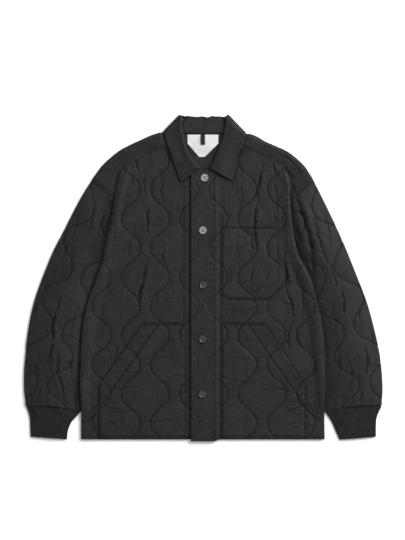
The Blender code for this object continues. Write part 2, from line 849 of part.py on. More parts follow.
def build_buttons():
    """Four-hole buttons on the placket, the first ones paler."""
    base = PLACKET_TOP + LAYER
    for i, row in enumerate(BUTTONS, 1):
        finish = material("grey_horn", GREY_HORN, 0.35)
        if i <= PALE_BUTTONS:
            finish = material("pale_horn", PALE_HORN, 0.3)
        button = button_mesh(f"button_{i}", finish)
        button.location = (row.x * MM, row.y * MM, base * MM)
        for dx in (-1, 1):
            for dy in (-1, 1):
                bpy.ops.mesh.primitive_cylinder_add(
                    vertices=DRILL_SIDES,
                    radius=BUTTON_HOLE_RADIUS * MM,
                    depth=4 * BUTTON_HEIGHT * MM,
                    location=(
                        (row.x + dx * BUTTON_HOLE_PLACE) * MM,
                        (row.y + dy * BUTTON_HOLE_PLACE) * MM,
                        base * MM,
                    ),
                    rotation=(0.0, 0.0, DRILL_TURN),
                )
                drill = bpy.context.object
                drill.name = f"drill_{i}_{dx}_{dy}"
                drill.hide_render = True
                drill.display_type = "WIRE"
                cut = button.modifiers.new("Hole", "BOOLEAN")
                cut.operation = "DIFFERENCE"
                cut.object = drill


def main():
    """Build every piece, from the layers below to those on top."""
    clear_scene()
    build_back()
    build_fronts()
    build_yokes()
    build_sleeves()
    build_cuffs()
    build_collar_fall()
    build_collar_stand()
    build_pockets()
    build_chest_pocket()
    build_neck_patch()
    build_buttons()


main()
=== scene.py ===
"""Looks of a quilted jacket laid flat on its back, fastened, with its sleeves beside the body.

The frame is in metres. Shapes here are worked out in millimetres, in the frame's axes, and Shell.build
turns them into metres. Left is -X and right is +X, seen from above with the collar up (+Y).
"""

import logging
import math
from dataclasses import dataclass, field
from enum import Enum
from typing import Callable, NamedTuple, Optional, Sequence

import bpy
import numpy as np
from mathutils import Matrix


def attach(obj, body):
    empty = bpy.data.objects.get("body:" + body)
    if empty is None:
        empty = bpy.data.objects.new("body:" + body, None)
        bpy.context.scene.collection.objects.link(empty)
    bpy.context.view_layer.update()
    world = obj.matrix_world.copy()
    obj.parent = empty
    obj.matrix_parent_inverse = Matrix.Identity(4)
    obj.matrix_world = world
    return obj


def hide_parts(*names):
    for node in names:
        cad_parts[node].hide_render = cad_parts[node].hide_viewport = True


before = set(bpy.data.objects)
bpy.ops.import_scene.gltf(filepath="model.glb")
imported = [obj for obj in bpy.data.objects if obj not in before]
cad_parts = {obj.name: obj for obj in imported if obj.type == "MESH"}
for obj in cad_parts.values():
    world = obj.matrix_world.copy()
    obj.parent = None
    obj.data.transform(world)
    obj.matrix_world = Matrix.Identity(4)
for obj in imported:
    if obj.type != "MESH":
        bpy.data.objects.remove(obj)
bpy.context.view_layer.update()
LOG = logging.getLogger("jacket")

MM = 0.001
BODY = "root"
Array = np.ndarray
Point = tuple[float, float]


class Side(Enum):
    """The two sides of the jacket, as the sign of x."""

    LEFT = -1
    RIGHT = 1

    @property
    def tag(self) -> str:
        """The word used in names."""
        return self.name.lower()


# ------------------------------------------------------------------ sizes shared with the frame

QUILT = 2.6
PLAIN = 1.6
FALL = 2.4
RIB = 2.2
LAYER = 0.4
AIR = 1.2
SEAM = 0.35
BACK_MID = QUILT / 2
FRONT_MID = BACK_MID + QUILT + AIR
PLACKET_LIFT = QUILT + LAYER
POCKET_MID = FRONT_MID + QUILT + LAYER
PLACKET_EDGE = -30.0
PLACKET_FLAT_TO = 24.0
PLACKET_SLOPE_TO = 42.0
UNDERLAY_EDGE = 21.0
PLACKET_HEM = -391.5
HEM = -387.0
HEM_BACK = -385.5
YOKE_END_Y = 267.0
SLEEVE_FOLD = 1.6
SLEEVE_TUCK = 12.0
SLEEVE_TOP_INNER, SLEEVE_TOP_OUTER = 178.0, 233.0
CUFF_SEAM_INNER, CUFF_SEAM_OUTER = -321.0, -306.0
UNDERARM = 5.0
SIDE_LIFT = 2 * QUILT + 2 * (SLEEVE_FOLD - QUILT / 2) + LAYER
SIDE_SLOPE = 24.0
ARMHOLE_LIFT = QUILT / 2 + 2 * SLEEVE_FOLD + QUILT + LAYER - FRONT_MID
ARMHOLE_SLOPE = 14.0
NECK_LIFT = FALL + LAYER
COLLAR_TOP = 392.5
ROLL = 1.5
FOLD_DEPTH = 4.0
WAVE_PITCH, WAVE_PERIOD, WAVE_REACH = 70.0, 140.0, 23.3


class EdgeRow(NamedTuple):
    """One height of an outline that runs down both sides: y, and how far out it is on each side."""

    y: float
    left: float
    right: float


BODY_EDGE = (
    EdgeRow(y=267, left=189, right=190),
    EdgeRow(y=246, left=200, right=202),
    EdgeRow(y=226, left=206, right=208),
    EdgeRow(y=186, left=214, right=208),
    EdgeRow(y=146, left=220, right=211),
    EdgeRow(y=112, left=227, right=215),
    EdgeRow(y=78, left=236, right=221),
    EdgeRow(y=48, left=242, right=230),
    EdgeRow(y=22, left=248, right=245),
    EdgeRow(y=-16, left=261, right=262),
    EdgeRow(y=-60, left=277, right=272),
    EdgeRow(y=-110, left=288, right=284),
    EdgeRow(y=-170, left=293, right=290),
    EdgeRow(y=-240, left=295, right=291),
    EdgeRow(y=-317, left=293, right=290),
    EdgeRow(y=-387, left=293, right=291),
)

SLEEVE_EDGE = (
    EdgeRow(y=233, left=269, right=265),
    EdgeRow(y=197, left=291, right=283),
    EdgeRow(y=150, left=316, right=306),
    EdgeRow(y=112, left=335, right=324),
    EdgeRow(y=68, left=358, right=343),
    EdgeRow(y=13, left=381, right=365),
    EdgeRow(y=-51, left=404, right=390),
    EdgeRow(y=-130, left=421, right=412),
    EdgeRow(y=-182, left=427, right=423),
    EdgeRow(y=-226, left=430, right=428),
    EdgeRow(y=-265, left=430, right=430),
    EdgeRow(y=-306, left=426, right=428),
)


# ------------------------------------------------------------------ curves and fields


def ease(t: Array) -> Array:
    """A smooth step, 3 t squared minus 2 t cubed, held at 0 and 1 outside."""
    t = np.clip(t, 0.0, 1.0)
    return t * t * (3.0 - 2.0 * t)


def bell(distance: Array, width: float) -> Array:
    """exp of minus (distance over width) squared."""
    return np.exp(-((distance / width) ** 2))


def smooth(at: Array, places: Sequence[float], values: Sequence[float]) -> Array:
    """The cubic Hermite curve through (place, value) pairs.

    Args:
        at: Where to read it.
        places: Rising places of the pairs.
        values: Their values.

    Returns:
        The curve's values, held at the ends.
    """
    places = np.asarray(places, float)
    values = np.asarray(values, float)
    slopes = np.gradient(values, places)
    at = np.clip(np.asarray(at, float), places[0], places[-1])
    i = np.clip(np.searchsorted(places, at) - 1, 0, len(places) - 2)
    step = places[i + 1] - places[i]
    t = (at - places[i]) / step
    start = (1 + 2 * t) * (1 - t) ** 2 * values[i] + t * (1 - t) ** 2 * step * slopes[i]
    end = t * t * (3 - 2 * t) * values[i + 1] + t * t * (t - 1) * step * slopes[i + 1]
    return start + end


def edge_out(table: Sequence[EdgeRow], side: Side, y: Array) -> Array:
    """How far out an edge table runs on one side at the heights y."""
    rows = sorted(table)
    column = [row.left if side is Side.LEFT else row.right for row in rows]
    return smooth(y, [row.y for row in rows], column)


def tuck(y: Array) -> Array:
    """How far the sleeve lies under the body's edge at the heights y."""
    return SLEEVE_TUCK * ease((np.asarray(y, float) + 292.0) / 120.0)


def noise(x: Array, y: Array, across: float, along: float, seed: int) -> Array:
    """Smooth random values: a seeded table of numbers, eased between its cells.

    Args:
        x: Places across.
        y: Places along.
        across: Size of a cell in x.
        along: Size of a cell in y.
        seed: Seed of the table.

    Returns:
        Values between -1 and 1.
    """
    size = 96
    table = np.random.default_rng(seed).uniform(-1.0, 1.0, (size, size))
    u, v = np.asarray(x, float) / across + 1000.0, np.asarray(y, float) / along + 1000.0
    i, j = np.floor(u).astype(int), np.floor(v).astype(int)
    s, t = u - i, v - j
    s, t = s**3 * (s * (6 * s - 15) + 10), t**3 * (t * (6 * t - 15) + 10)
    a, b = table[i % size, j % size], table[(i + 1) % size, j % size]
    c, d = table[i % size, (j + 1) % size], table[(i + 1) % size, (j + 1) % size]
    return (a + (b - a) * s) * (1 - t) + (c + (d - c) * s) * t


def path_distance(x: Array, y: Array, path: Sequence[tuple[float, float]]) -> tuple[Array, Array]:
    """Distance from each place to a path of straight runs, and the share of the path where it is nearest."""
    points = np.asarray(path, float)
    runs = np.linalg.norm(np.diff(points, axis=0), axis=1)
    before = np.concatenate([[0.0], np.cumsum(runs)])
    best = np.full(np.shape(x), np.inf)
    share = np.zeros(np.shape(x))
    for k, run in enumerate(runs):
        (ax, ay), (bx, by) = points[k], points[k + 1]
        t = np.clip(((x - ax) * (bx - ax) + (y - ay) * (by - ay)) / run**2, 0.0, 1.0)
        gap = np.hypot(x - (ax + (bx - ax) * t), y - (ay + (by - ay) * t))
        nearer = gap < best
        best = np.where(nearer, gap, best)
        share = np.where(nearer, (before[k] + run * t) / before[-1], share)
    return best, share


def wave_gap(u: Array, v: Array) -> Array:
    """Distance to the nearest quilting line.

    Two families of waves, 140 apart, lean towards and away from each other: u = 35 + 140 n + reach cos(v)
    and u = 105 + 140 n - reach cos(v). The sideways gap is turned square by the wave's slope.
    """
    angle = 2 * math.pi * (v - 1.0) / WAVE_PERIOD
    swing = WAVE_REACH * (np.cos(angle) - 0.06 * np.cos(3 * angle))
    slope = WAVE_REACH * 2 * math.pi / WAVE_PERIOD * np.sin(angle)
    span = 2 * WAVE_PITCH
    first = (u - WAVE_PITCH / 2 - swing) / span
    second = (u - 1.5 * WAVE_PITCH + swing) / span
    gap = np.minimum(abs(first - np.round(first)), abs(second - np.round(second))) * span
    return gap / np.sqrt(1 + slope * slope)


def neck_lift(x: Array, y: Array) -> Array:
    """How much the layers rise over the back of the collar."""
    return NECK_LIFT * ease((y - 292.0) / 30.0) * ease((138.0 - abs(x)) / 34.0)


def side_lift(side: Side, x: Array, y: Array) -> Array:
    """How much both layers of the body rise over the tucked edge of the sleeve."""
    past = side.value * x - (edge_out(BODY_EDGE, side, y) - tuck(y))
    under_arm = 1.0 - ease((y - UNDERARM) / 38.0)
    above_hem = ease((y + 345.0) / 50.0)
    return SIDE_LIFT * ease((past + SIDE_SLOPE) / (SIDE_SLOPE - 1.5)) * under_arm * above_hem


def armhole_lift(side: Side, x: Array, y: Array) -> Array:
    """How much a front alone rises over the yoke's tucked edge and the top of the sleeve."""
    past = side.value * x - (edge_out(BODY_EDGE, side, y) - SLEEVE_TUCK)
    over_arm = ease((y - UNDERARM) / 38.0)
    below_seam = ease((YOKE_END_Y - y) / 19.0)
    return ARMHOLE_LIFT * ease((past + ARMHOLE_SLOPE) / (ARMHOLE_SLOPE - 1.5)) * over_arm * below_seam


def front_mid(side: Side, x: Array, y: Array) -> Array:
    """Height of the middle of a front's wall, with the placket's lap on the right."""
    z = FRONT_MID + neck_lift(x, y) + side_lift(side, x, y) + armhole_lift(side, x, y)
    if side is Side.RIGHT:
        z = z + PLACKET_LIFT * ease((PLACKET_SLOPE_TO - x) / (PLACKET_SLOPE_TO - PLACKET_FLAT_TO))
    return z


def graded(length: float, step: float) -> Array:
    """Shares of a length for grid lines: close together at both ends, then a step apart."""
    near = np.array([0.0, 0.35, 0.9, 1.7, 2.9])
    count = max(2, int(round((length - 2 * near[-1]) / step)))
    middle = np.linspace(near[-1], length - near[-1], count + 1)
    return np.unique(np.concatenate([near, middle, length - near])) / length


# ------------------------------------------------------------------ folds and stitches


@dataclass(frozen=True)
class Crease:
    """One soft fold in the cloth: a trough along a path, with a low ridge on both sides."""

    path: tuple[tuple[float, float], ...]
    depth: float = 1.6
    width: float = 4.0

    def shape(self, x: Array, y: Array) -> tuple[Array, Array]:
        """Height and painted shade round the fold.

        The path is shaken by noise. The height is minus depth times a bell of the gap, plus low bells on both
        flanks, fading at the path's ends and uneven along it. The painted shade, which darkens the colour
        where the fold lies in shade, is a narrower bell, stronger in folds with more depth.
        """
        shaken = x + 2.4 * noise(x, y, 8.0, 11.0, 71) + 0.9 * noise(x, y, 3.2, 4.6, 72)
        gap, share = path_distance(shaken, y + 1.2 * noise(x, y, 7.0, 7.0, 73), self.path)
        fade = np.sin(math.pi * np.clip(share, 0.03, 0.97)) ** 0.7
        fade = fade * np.clip(0.85 + 0.5 * noise(x, y, 13.0, 13.0, 74), 0.3, 1.4)
        width = 0.66 * self.width
        flank = 0.3 * bell(gap - 2.2 * width, 1.4 * width)
        painted_shade = np.clip(fade * bell(gap, width) * 0.62 * self.depth, 0.0, 1.0)
        return self.depth * fade * (flank - bell(gap, width)), painted_shade


@dataclass(frozen=True)
class SeamLine:
    """A line of stitching that pulls the cloth down, with fine puckers beside it."""

    path: tuple[tuple[float, float], ...]
    depth: float = 0.8
    width: float = 1.8
    pucker: float = 0.25

    def shape(self, x: Array, y: Array) -> tuple[Array, Array]:
        """Height and painted shade: a narrow trough, shaded in paint, and ripples across it that fade about 8
        mm away.
        """
        gap, share = path_distance(x, y, self.path)
        length = float(np.linalg.norm(np.diff(np.asarray(self.path), axis=0), axis=1).sum())
        ripple = noise(share * length, gap * 0.3, 4.2, 9.0, 11 + int(length)) * bell(gap - 3.5, 5.0)
        trough = bell(gap, self.width)
        return -self.depth * trough + self.pucker * ripple, min(1.0, self.depth) * trough


FRONT_CREASES = {
    Side.LEFT: (
        Crease(((-133, 172), (-136, 134), (-133, 98)), 2.6, 4.0),
        Crease(((-136, 40), (-141, 6), (-150, -30), (-152, -70)), 2.9, 4.6),
        Crease(((-146, -8), (-156, -40), (-154, -68)), 1.8, 3.6),
        Crease(((-94, 80), (-97, 60), (-99, 30)), 1.8, 3.4),
        Crease(((-162, 288), (-160, 268), (-155, 248)), 2.0, 3.2),
        Crease(((-231, 62), (-240, 54), (-246, 40)), 1.6, 2.6),
        Crease(((-226, 50), (-236, 44), (-246, 50)), 1.2, 2.4),
        Crease(((-184, -120), (-196, -132), (-206, -150)), 1.4, 3.0),
        Crease(((-164, -92), (-182, -100), (-196, -96)), 1.1, 2.8),
        Crease(((-170, -108), (-186, -116), (-200, -112)), 1.2, 2.8),
        Crease(((-250, -312), (-264, -330), (-286, -352)), 1.8, 3.2),
        Crease(((-252, -296), (-268, -322), (-284, -336)), 1.5, 3.0),
        Crease(((-252, -330), (-258, -352), (-276, -374)), 1.6, 3.0),
        Crease(((-246, -268), (-232, -288), (-214, -296)), 1.6, 3.0),
        Crease(((-244, -300), (-222, -312), (-190, -314)), 1.5, 3.0),
        Crease(((-244, -334), (-226, -346), (-200, -352)), 1.2, 2.8),
        Crease(((-98, 238), (-100, 210), (-99, 184)), 1.3, 3.4),
        Crease(((-142, 250), (-143, 222), (-139, 196)), 1.2, 3.8),
        Crease(((-170, 252), (-171, 230), (-166, 214)), 1.2, 3.2),
        Crease(((-176, 96), (-178, 60), (-172, 30)), 0.9, 4.4),
        Crease(((-203, -158), (-210, -180), (-217, -203)), 1.8, 3.2),
        Crease(((-195, -76), (-197, -92), (-199, -108)), 1.2, 3.0),
        Crease(((-118, 236), (-120, 208), (-121, 188)), 0.9, 3.6),
        Crease(((-60, 196), (-66, 150), (-64, 118)), 0.7, 4.6),
        Crease(((-72, 10), (-76, -20), (-74, -60)), 0.7, 5.0),
        Crease(((-116, -34), (-112, -62), (-114, -92)), 0.9, 4.2),
        Crease(((-234, 20), (-226, -28), (-232, -66)), 0.9, 4.6),
        Crease(((-244, -60), (-239, -110), (-250, -150)), 1.0, 4.0),
        Crease(((-60, -148), (-96, -152), (-128, -146)), 0.7, 3.4),
        Crease(((-64, -196), (-104, -190), (-150, -198)), 0.9, 3.6),
        Crease(((-122, -222), (-166, -226), (-204, -220)), 0.8, 3.4),
        Crease(((-58, -246), (-94, -252), (-126, -246)), 0.8, 3.6),
        Crease(((-130, -268), (-176, -262), (-222, -272)), 0.9, 3.6),
        Crease(((-66, -300), (-112, -294), (-148, -302)), 0.8, 3.4),
        Crease(((-150, -318), (-196, -322), (-238, -316)), 1.1, 3.4),
        Crease(((-70, -340), (-120, -346), (-176, -340)), 0.7, 3.6),
        Crease(((-256, -262), (-268, -248), (-284, -240)), 1.0, 3.0),
        Crease(((-254, -286), (-270, -282), (-288, -272)), 1.1, 3.0),
        Crease(((-256, -316), (-270, -306), (-288, -304)), 1.0, 3.0),
        Crease(((-256, -348), (-268, -336), (-286, -334)), 0.8, 3.0),
    ),
    Side.RIGHT: (
        Crease(((141, 286), (140, 262), (130, 205), (134, 176)), 3.0, 4.6),
        Crease(((134, 190), (124, 150), (122, 112), (132, 60)), 3.0, 5.0),
        Crease(((167, 280), (169, 264), (172, 248)), 2.0, 3.2),
        Crease(((165, 190), (168, 150), (172, 108)), 2.2, 3.4),
        Crease(((118, 120), (114, 90), (118, 56)), 1.6, 3.6),
        Crease(((188, 40), (198, 18), (206, -18)), 2.6, 3.4),
        Crease(((186, 12), (200, 4), (212, 6)), 1.8, 2.8),
        Crease(((190, -8), (204, -12), (216, -10)), 1.8, 2.8),
        Crease(((196, -58), (206, -66), (218, -66)), 1.6, 2.8),
        Crease(((200, -84), (214, -90), (226, -88)), 1.5, 2.8),
        Crease(((104, -20), (118, -34), (134, -48)), 1.5, 3.0),
        Crease(((110, -48), (116, -56), (124, -64)), 1.6, 2.6),
        Crease(((170, -118), (190, -132), (208, -128)), 1.3, 2.8),
        Crease(((246, -312), (262, -330), (284, -350)), 1.8, 3.2),
        Crease(((246, -296), (262, -318), (282, -330)), 1.5, 3.0),
        Crease(((248, -334), (256, -354), (270, -374)), 1.6, 3.0),
        Crease(((240, -272), (228, -292), (206, -300)), 1.6, 3.0),
        Crease(((240, -304), (216, -316), (186, -316)), 1.5, 3.0),
        Crease(((240, -336), (222, -348), (196, -352)), 1.2, 2.8),
        Crease(((140, 214), (142, 184), (138, 160)), 1.2, 3.4),
        Crease(((172, 232), (176, 190), (174, 150), (178, 110)), 1.6, 4.4),
        Crease(((190, 96), (194, 60), (197, 30), (196, -8)), 1.4, 4.8),
        Crease(((193, 34), (201, 12), (196, -24)), 2.4, 3.6),
        Crease(((196, -24), (211, -62), (215, -104)), 2.8, 3.8),
        Crease(((215, -104), (203, -140), (205, -172)), 2.2, 3.4),
        Crease(((118, 44), (117, 4), (112, -38)), 1.5, 3.8),
        Crease(((158, 8), (142, -14), (123, -38)), 1.3, 3.4),
        Crease(((150, 92), (153, 56), (149, 20)), 0.9, 4.2),
        Crease(((84, 100), (80, 66), (83, 40)), 0.7, 4.4),
        Crease(((60, 36), (66, 10), (60, -16)), 0.7, 4.0),
        Crease(((88, 232), (91, 190), (87, 150)), 0.8, 4.6),
        Crease(((62, -74), (96, -78), (132, -72)), 0.8, 3.4),
        Crease(((236, -20), (240, -66), (236, -110)), 0.9, 4.4),
        Crease(((222, -118), (226, -150), (238, -176)), 1.3, 3.4),
        Crease(((60, -148), (100, -154), (136, -148)), 0.7, 3.4),
        Crease(((58, -190), (104, -196), (150, -190)), 0.9, 3.4),
        Crease(((120, -214), (160, -220), (206, -214)), 0.8, 3.4),
        Crease(((56, -244), (100, -250), (146, -242)), 0.9, 3.6),
        Crease(((130, -272), (176, -266), (224, -276)), 0.8, 3.4),
        Crease(((60, -302), (108, -296), (150, -306)), 0.8, 3.6),
        Crease(((196, -318), (220, -326), (243, -332)), 1.5, 2.8),
        Crease(((80, -344), (132, -338), (186, -346)), 0.7, 3.6),
        Crease(((250, -262), (264, -250), (282, -244)), 1.0, 3.0),
        Crease(((250, -288), (268, -280), (286, -276)), 1.1, 3.0),
        Crease(((250, -318), (268, -312), (286, -302)), 1.0, 3.0),
        Crease(((250, -350), (266, -340), (284, -338)), 0.8, 3.0),
    ),
}

SLEEVE_CREASES = {
    Side.LEFT: (
        Crease(((-337, -24), (-351, -78), (-362, -110), (-361, -142), (-369, -204), (-362, -242)), 3.0, 4.2),
        Crease(((-348, -170), (-350, -226), (-338, -266), (-333, -304)), 2.2, 4.0),
        Crease(((-216, 204), (-226, 150), (-236, 104), (-248, 56)), 3.0, 6.5),
        Crease(((-222, 180), (-240, 150), (-248, 118)), 1.4, 4.0),
        Crease(((-296, 150), (-310, 112), (-318, 78)), 1.2, 4.4),
        Crease(((-322, 92), (-334, 52), (-338, 20)), 1.1, 4.0),
        Crease(((-262, 176), (-268, 130), (-280, 96)), 1.5, 5.0),
        Crease(((-306, 60), (-318, 20), (-322, -16)), 1.1, 4.8),
        Crease(((-300, -60), (-312, -104), (-318, -150)), 1.1, 5.0),
        Crease(((-392, -30), (-402, -80), (-404, -120)), 0.9, 4.6),
        Crease(((-320, -190), (-318, -230), (-310, -262)), 1.5, 4.0),
        Crease(((-392, -172), (-400, -216), (-396, -252)), 1.1, 4.2),
        Crease(((-386, -252), (-394, -280), (-398, -302)), 1.3, 3.0),
        Crease(((-412, -262), (-410, -284), (-412, -302)), 1.0, 2.6),
        Crease(((-368, -262), (-376, -284), (-378, -304)), 1.3, 2.8),
        Crease(((-352, -270), (-357, -290), (-356, -306)), 1.0, 2.6),
        Crease(((-312, -276), (-312, -296), (-309, -314)), 1.1, 2.8),
        Crease(((-300, -262), (-302, -286), (-301, -312)), 0.9, 2.6),
    ),
    Side.RIGHT: (
        Crease(((224, 196), (236, 150), (252, 106), (262, 50), (266, 2)), 3.4, 7.5),
        Crease(((218, 140), (226, 112), (234, 74)), 2.4, 4.5),
        Crease(((329, -28), (336, -60), (339, -90)), 2.6, 4.2),
        Crease(((384, -164), (394, -198), (385, -242)), 2.4, 4.0),
        Crease(((345, -190), (356, -226), (350, -262)), 1.5, 4.2),
        Crease(((290, 148), (300, 108), (304, 70)), 1.1, 4.6),
        Crease(((300, 40), (312, 6), (318, -22)), 1.2, 4.4),
        Crease(((262, 150), (272, 104), (286, 66), (296, 30)), 1.4, 5.2),
        Crease(((306, -60), (316, -104), (318, -146)), 1.0, 5.0),
        Crease(((362, -40), (372, -84), (376, -120)), 1.0, 4.6),
        Crease(((322, -168), (326, -210), (320, -250)), 1.3, 4.0),
        Crease(((398, -120), (406, -156), (408, -190)), 0.9, 4.4),
        Crease(((398, -258), (402, -284), (400, -306)), 1.3, 2.8),
        Crease(((378, -262), (380, -288), (376, -306)), 1.3, 2.8),
        Crease(((362, -272), (358, -292), (356, -308)), 1.0, 2.6),
        Crease(((334, -270), (336, -292), (331, -312)), 1.2, 2.8),
        Crease(((314, -266), (316, -290), (311, -316)), 1.2, 2.8),
        Crease(((416, -266), (417, -288), (416, -306)), 0.9, 2.6),
        Crease(((300, -262), (301, -288), (299, -314)), 0.9, 2.6),
    ),
}


# Folds of the underside, like those of the upper one: pressed flat, so they are troughs only.
BACK_CREASES = (
    Crease(((-238, 170), (-196, 118), (-150, 84)), 1.4, 5.0),
    Crease(((226, 196), (188, 132), (140, 92)), 1.6, 5.5),
    Crease(((-252, 60), (-214, 22), (-168, 8)), 1.1, 4.2),
    Crease(((250, 84), (206, 40), (166, 30)), 1.2, 4.6),
    Crease(((-96, 226), (-84, 150), (-92, 78)), 1.0, 6.0),
    Crease(((72, 240), (88, 168), (78, 104)), 1.1, 5.0),
    Crease(((-24, 40), (-38, -44), (-28, -126)), 1.2, 5.8),
    Crease(((116, -30), (132, -112), (120, -176)), 0.9, 4.6),
    Crease(((-186, -96), (-172, -168), (-188, -232)), 1.1, 5.2),
    Crease(((228, -128), (204, -192), (212, -262)), 1.3, 4.8),
    Crease(((-262, -286), (-206, -300), (-158, -296)), 1.0, 4.0),
    Crease(((18, -322), (84, -312), (146, -326)), 0.9, 4.4),
)
UNDER_SHIFT = (9.0, -24.0)  # moves the sleeves' upper folds to other places underneath
UNDER_DEEPEST = -1.1  # how far any underside may be drawn in, which leaves a wall


def shape_of(marks: Sequence[Crease | SeamLine], x: Array, y: Array) -> tuple[Array, Array]:
    """The summed height and the greatest painted shade of several folds or seams."""
    height, painted_shade = np.zeros(np.shape(x)), np.zeros(np.shape(x))
    for mark in marks:
        more, mark_shade = mark.shape(x, y)
        height, painted_shade = height + more, np.maximum(painted_shade, mark_shade)
    return height, painted_shade


def quilt_relief(u: Array, v: Array, seed: int) -> Array:
    """The padding between the quilting lines: low at a line, rounding up to full height 26 mm away.

    Small ripples stand across each line, where the stitching takes up the cloth.
    """
    gap = wave_gap(u, v)
    pad = 0.95 * (1 - np.exp(-gap / 9.0)) - 0.5 * bell(gap, 1.6)
    ripple = noise(u, v, 5.0, 5.0, seed) * bell(gap - 4.0, 5.0)
    return pad + 0.2 * ripple


def limp_relief(x: Array, y: Array, seed: int, upright: Array) -> Array:
    """Fine unevenness of limp cloth: streaks that run up and down, or across, mixed by upright (1 or 0)."""
    streaks = noise(x, y, 13.0, 62.0, seed) * 0.5 + noise(x, y, 6.0, 34.0, seed + 1) * 0.22
    ripples = noise(x, y, 46.0, 10.0, seed + 2) * 0.42 + noise(x, y, 24.0, 5.0, seed + 3) * 0.2
    grain = noise(x, y, 5.0, 5.0, seed + 4) * 0.09
    return streaks * upright + ripples * (1 - upright) + grain


# ------------------------------------------------------------------ meshes


@dataclass
class Shell:
    """A wall of cloth on a grid of the middle of the wall, rows by columns by xyz, in millimetres.

    Attributes:
        name: Name of the piece.
        middle: The grid.
        wall: Thickness of the cloth.
        pattern: The cloth's own coordinates at each grid point, rows by columns by 2.
        outer: What the outer face stands out beyond the wall.
        inner: What the inner face stands out beyond the wall.
        painted_shade: Shade painted into the colour of the outer face, in folds, seams and beside raised
            parts, 0 to 1.
        faint: How faintly the painted shade along the quilting lines shows, 0 to 1.
        tube: Whether the last column is the first again.
        rim: Radius of the rounded edges.
    """

    name: str
    middle: Array
    wall: float
    pattern: Array
    outer: Array | float = 0.0
    inner: Array | float = 0.0
    painted_shade: Array | float = 0.0
    faint: Array | float = 0.0
    tube: bool = False
    rim: float = 1.3

    def normals(self) -> Array:
        """Unit normals: the cross product of the grid's two directions."""
        across = np.gradient(self.middle, axis=1)
        if self.tube:
            ring = self.middle[:, :-1]
            turned = (np.roll(ring, -1, axis=1) - np.roll(ring, 1, axis=1)) / 2
            across = np.concatenate([turned, turned[:, :1]], axis=1)
        along = np.gradient(self.middle, axis=0)
        normal = np.cross(across, along)
        size = np.linalg.norm(normal, axis=2, keepdims=True)
        return normal / np.maximum(size, 1e-9)

    def roundness(self) -> Array:
        """1 inside the wall and less by its open edges, as a quarter circle of the rim's radius."""

        def from_ends(axis: int) -> Array:
            """Arc length to the nearer end along one axis."""
            steps = np.linalg.norm(np.diff(self.middle, axis=axis), axis=2)
            start = np.zeros_like(steps[:1] if axis == 0 else steps[:, :1])
            forward = np.concatenate([start, np.cumsum(steps, axis=axis)], axis=axis)
            total = forward[-1:] if axis == 0 else forward[:, -1:]
            return np.minimum(forward, total - forward)

        gap = from_ends(0)
        if not self.tube:
            gap = np.minimum(gap, from_ends(1))
        t = np.clip(gap / self.rim, 0.0, 1.0)
        return np.maximum(np.sqrt(1 - (1 - t) ** 2), 0.15)

    def build(self) -> bpy.types.Object:
        """Make the closed mesh: the outer face, the inner face, and strips round the open edges."""
        normal, round_off = self.normals(), self.roundness()[..., None]
        half = self.wall / 2

        def offset(extra: Array | float) -> Array:
            """How far a face stands from the wall's middle."""
            return (half + np.broadcast_to(extra, self.middle.shape[:2]))[..., None] * round_off

        faces_out = self.middle + normal * offset(self.outer)
        faces_in = self.middle - normal * offset(self.inner)
        rows, columns = self.middle.shape[:2]
        kept = columns - 1 if self.tube else columns
        points = np.concatenate([faces_out[:, :kept].reshape(-1, 3), faces_in[:, :kept].reshape(-1, 3)])
        r, c = np.meshgrid(np.arange(rows), np.arange(columns), indexing="ij")
        index = r * kept + c % kept
        inner_index = index + rows * kept
        corner_uv = self.pattern.reshape(-1, 2)
        grid = r * columns + c

        def quads(idx: Array) -> Array:
            """The four corners of every cell of a grid."""
            return np.stack([idx[:-1, :-1], idx[:-1, 1:], idx[1:, 1:], idx[1:, :-1]], axis=-1).reshape(-1, 4)

        def strip(outer_line: Array, inner_line: Array) -> Array:
            """The faces that join two lines of corners."""
            parts = [outer_line[1:], outer_line[:-1], inner_line[:-1], inner_line[1:]]
            return np.stack(parts, axis=-1).reshape(-1, 4)

        faces, corners = [quads(index), quads(inner_index)[:, ::-1]], [quads(grid), quads(grid)[:, ::-1]]
        borders = [
            (index[0], inner_index[0], grid[0]),
            (index[-1, ::-1], inner_index[-1, ::-1], grid[-1, ::-1]),
        ]
        if not self.tube:
            borders.append((index[::-1, 0], inner_index[::-1, 0], grid[::-1, 0]))
            borders.append((index[:, -1], inner_index[:, -1], grid[:, -1]))
        for outer_line, inner_line, grid_line in borders:
            faces.append(strip(outer_line, inner_line))
            corners.append(strip(grid_line, grid_line))
        face_array, corner_array = np.concatenate(faces), np.concatenate(corners)
        obj = make_mesh(self.name, points, face_array, corner_uv[corner_array.reshape(-1)])
        # The painted shade, and how faint the quilting's painted shade is, go to the material as point
        # attributes.
        for mark, values in (("painted_shade", self.painted_shade), ("faint", self.faint)):
            held = np.zeros(len(points), np.float32)
            held[: rows * kept] = np.broadcast_to(values, self.middle.shape[:2])[:, :kept].reshape(-1)
            obj.data.attributes.new(mark, "FLOAT", "POINT").data.foreach_set("value", held)
        return obj


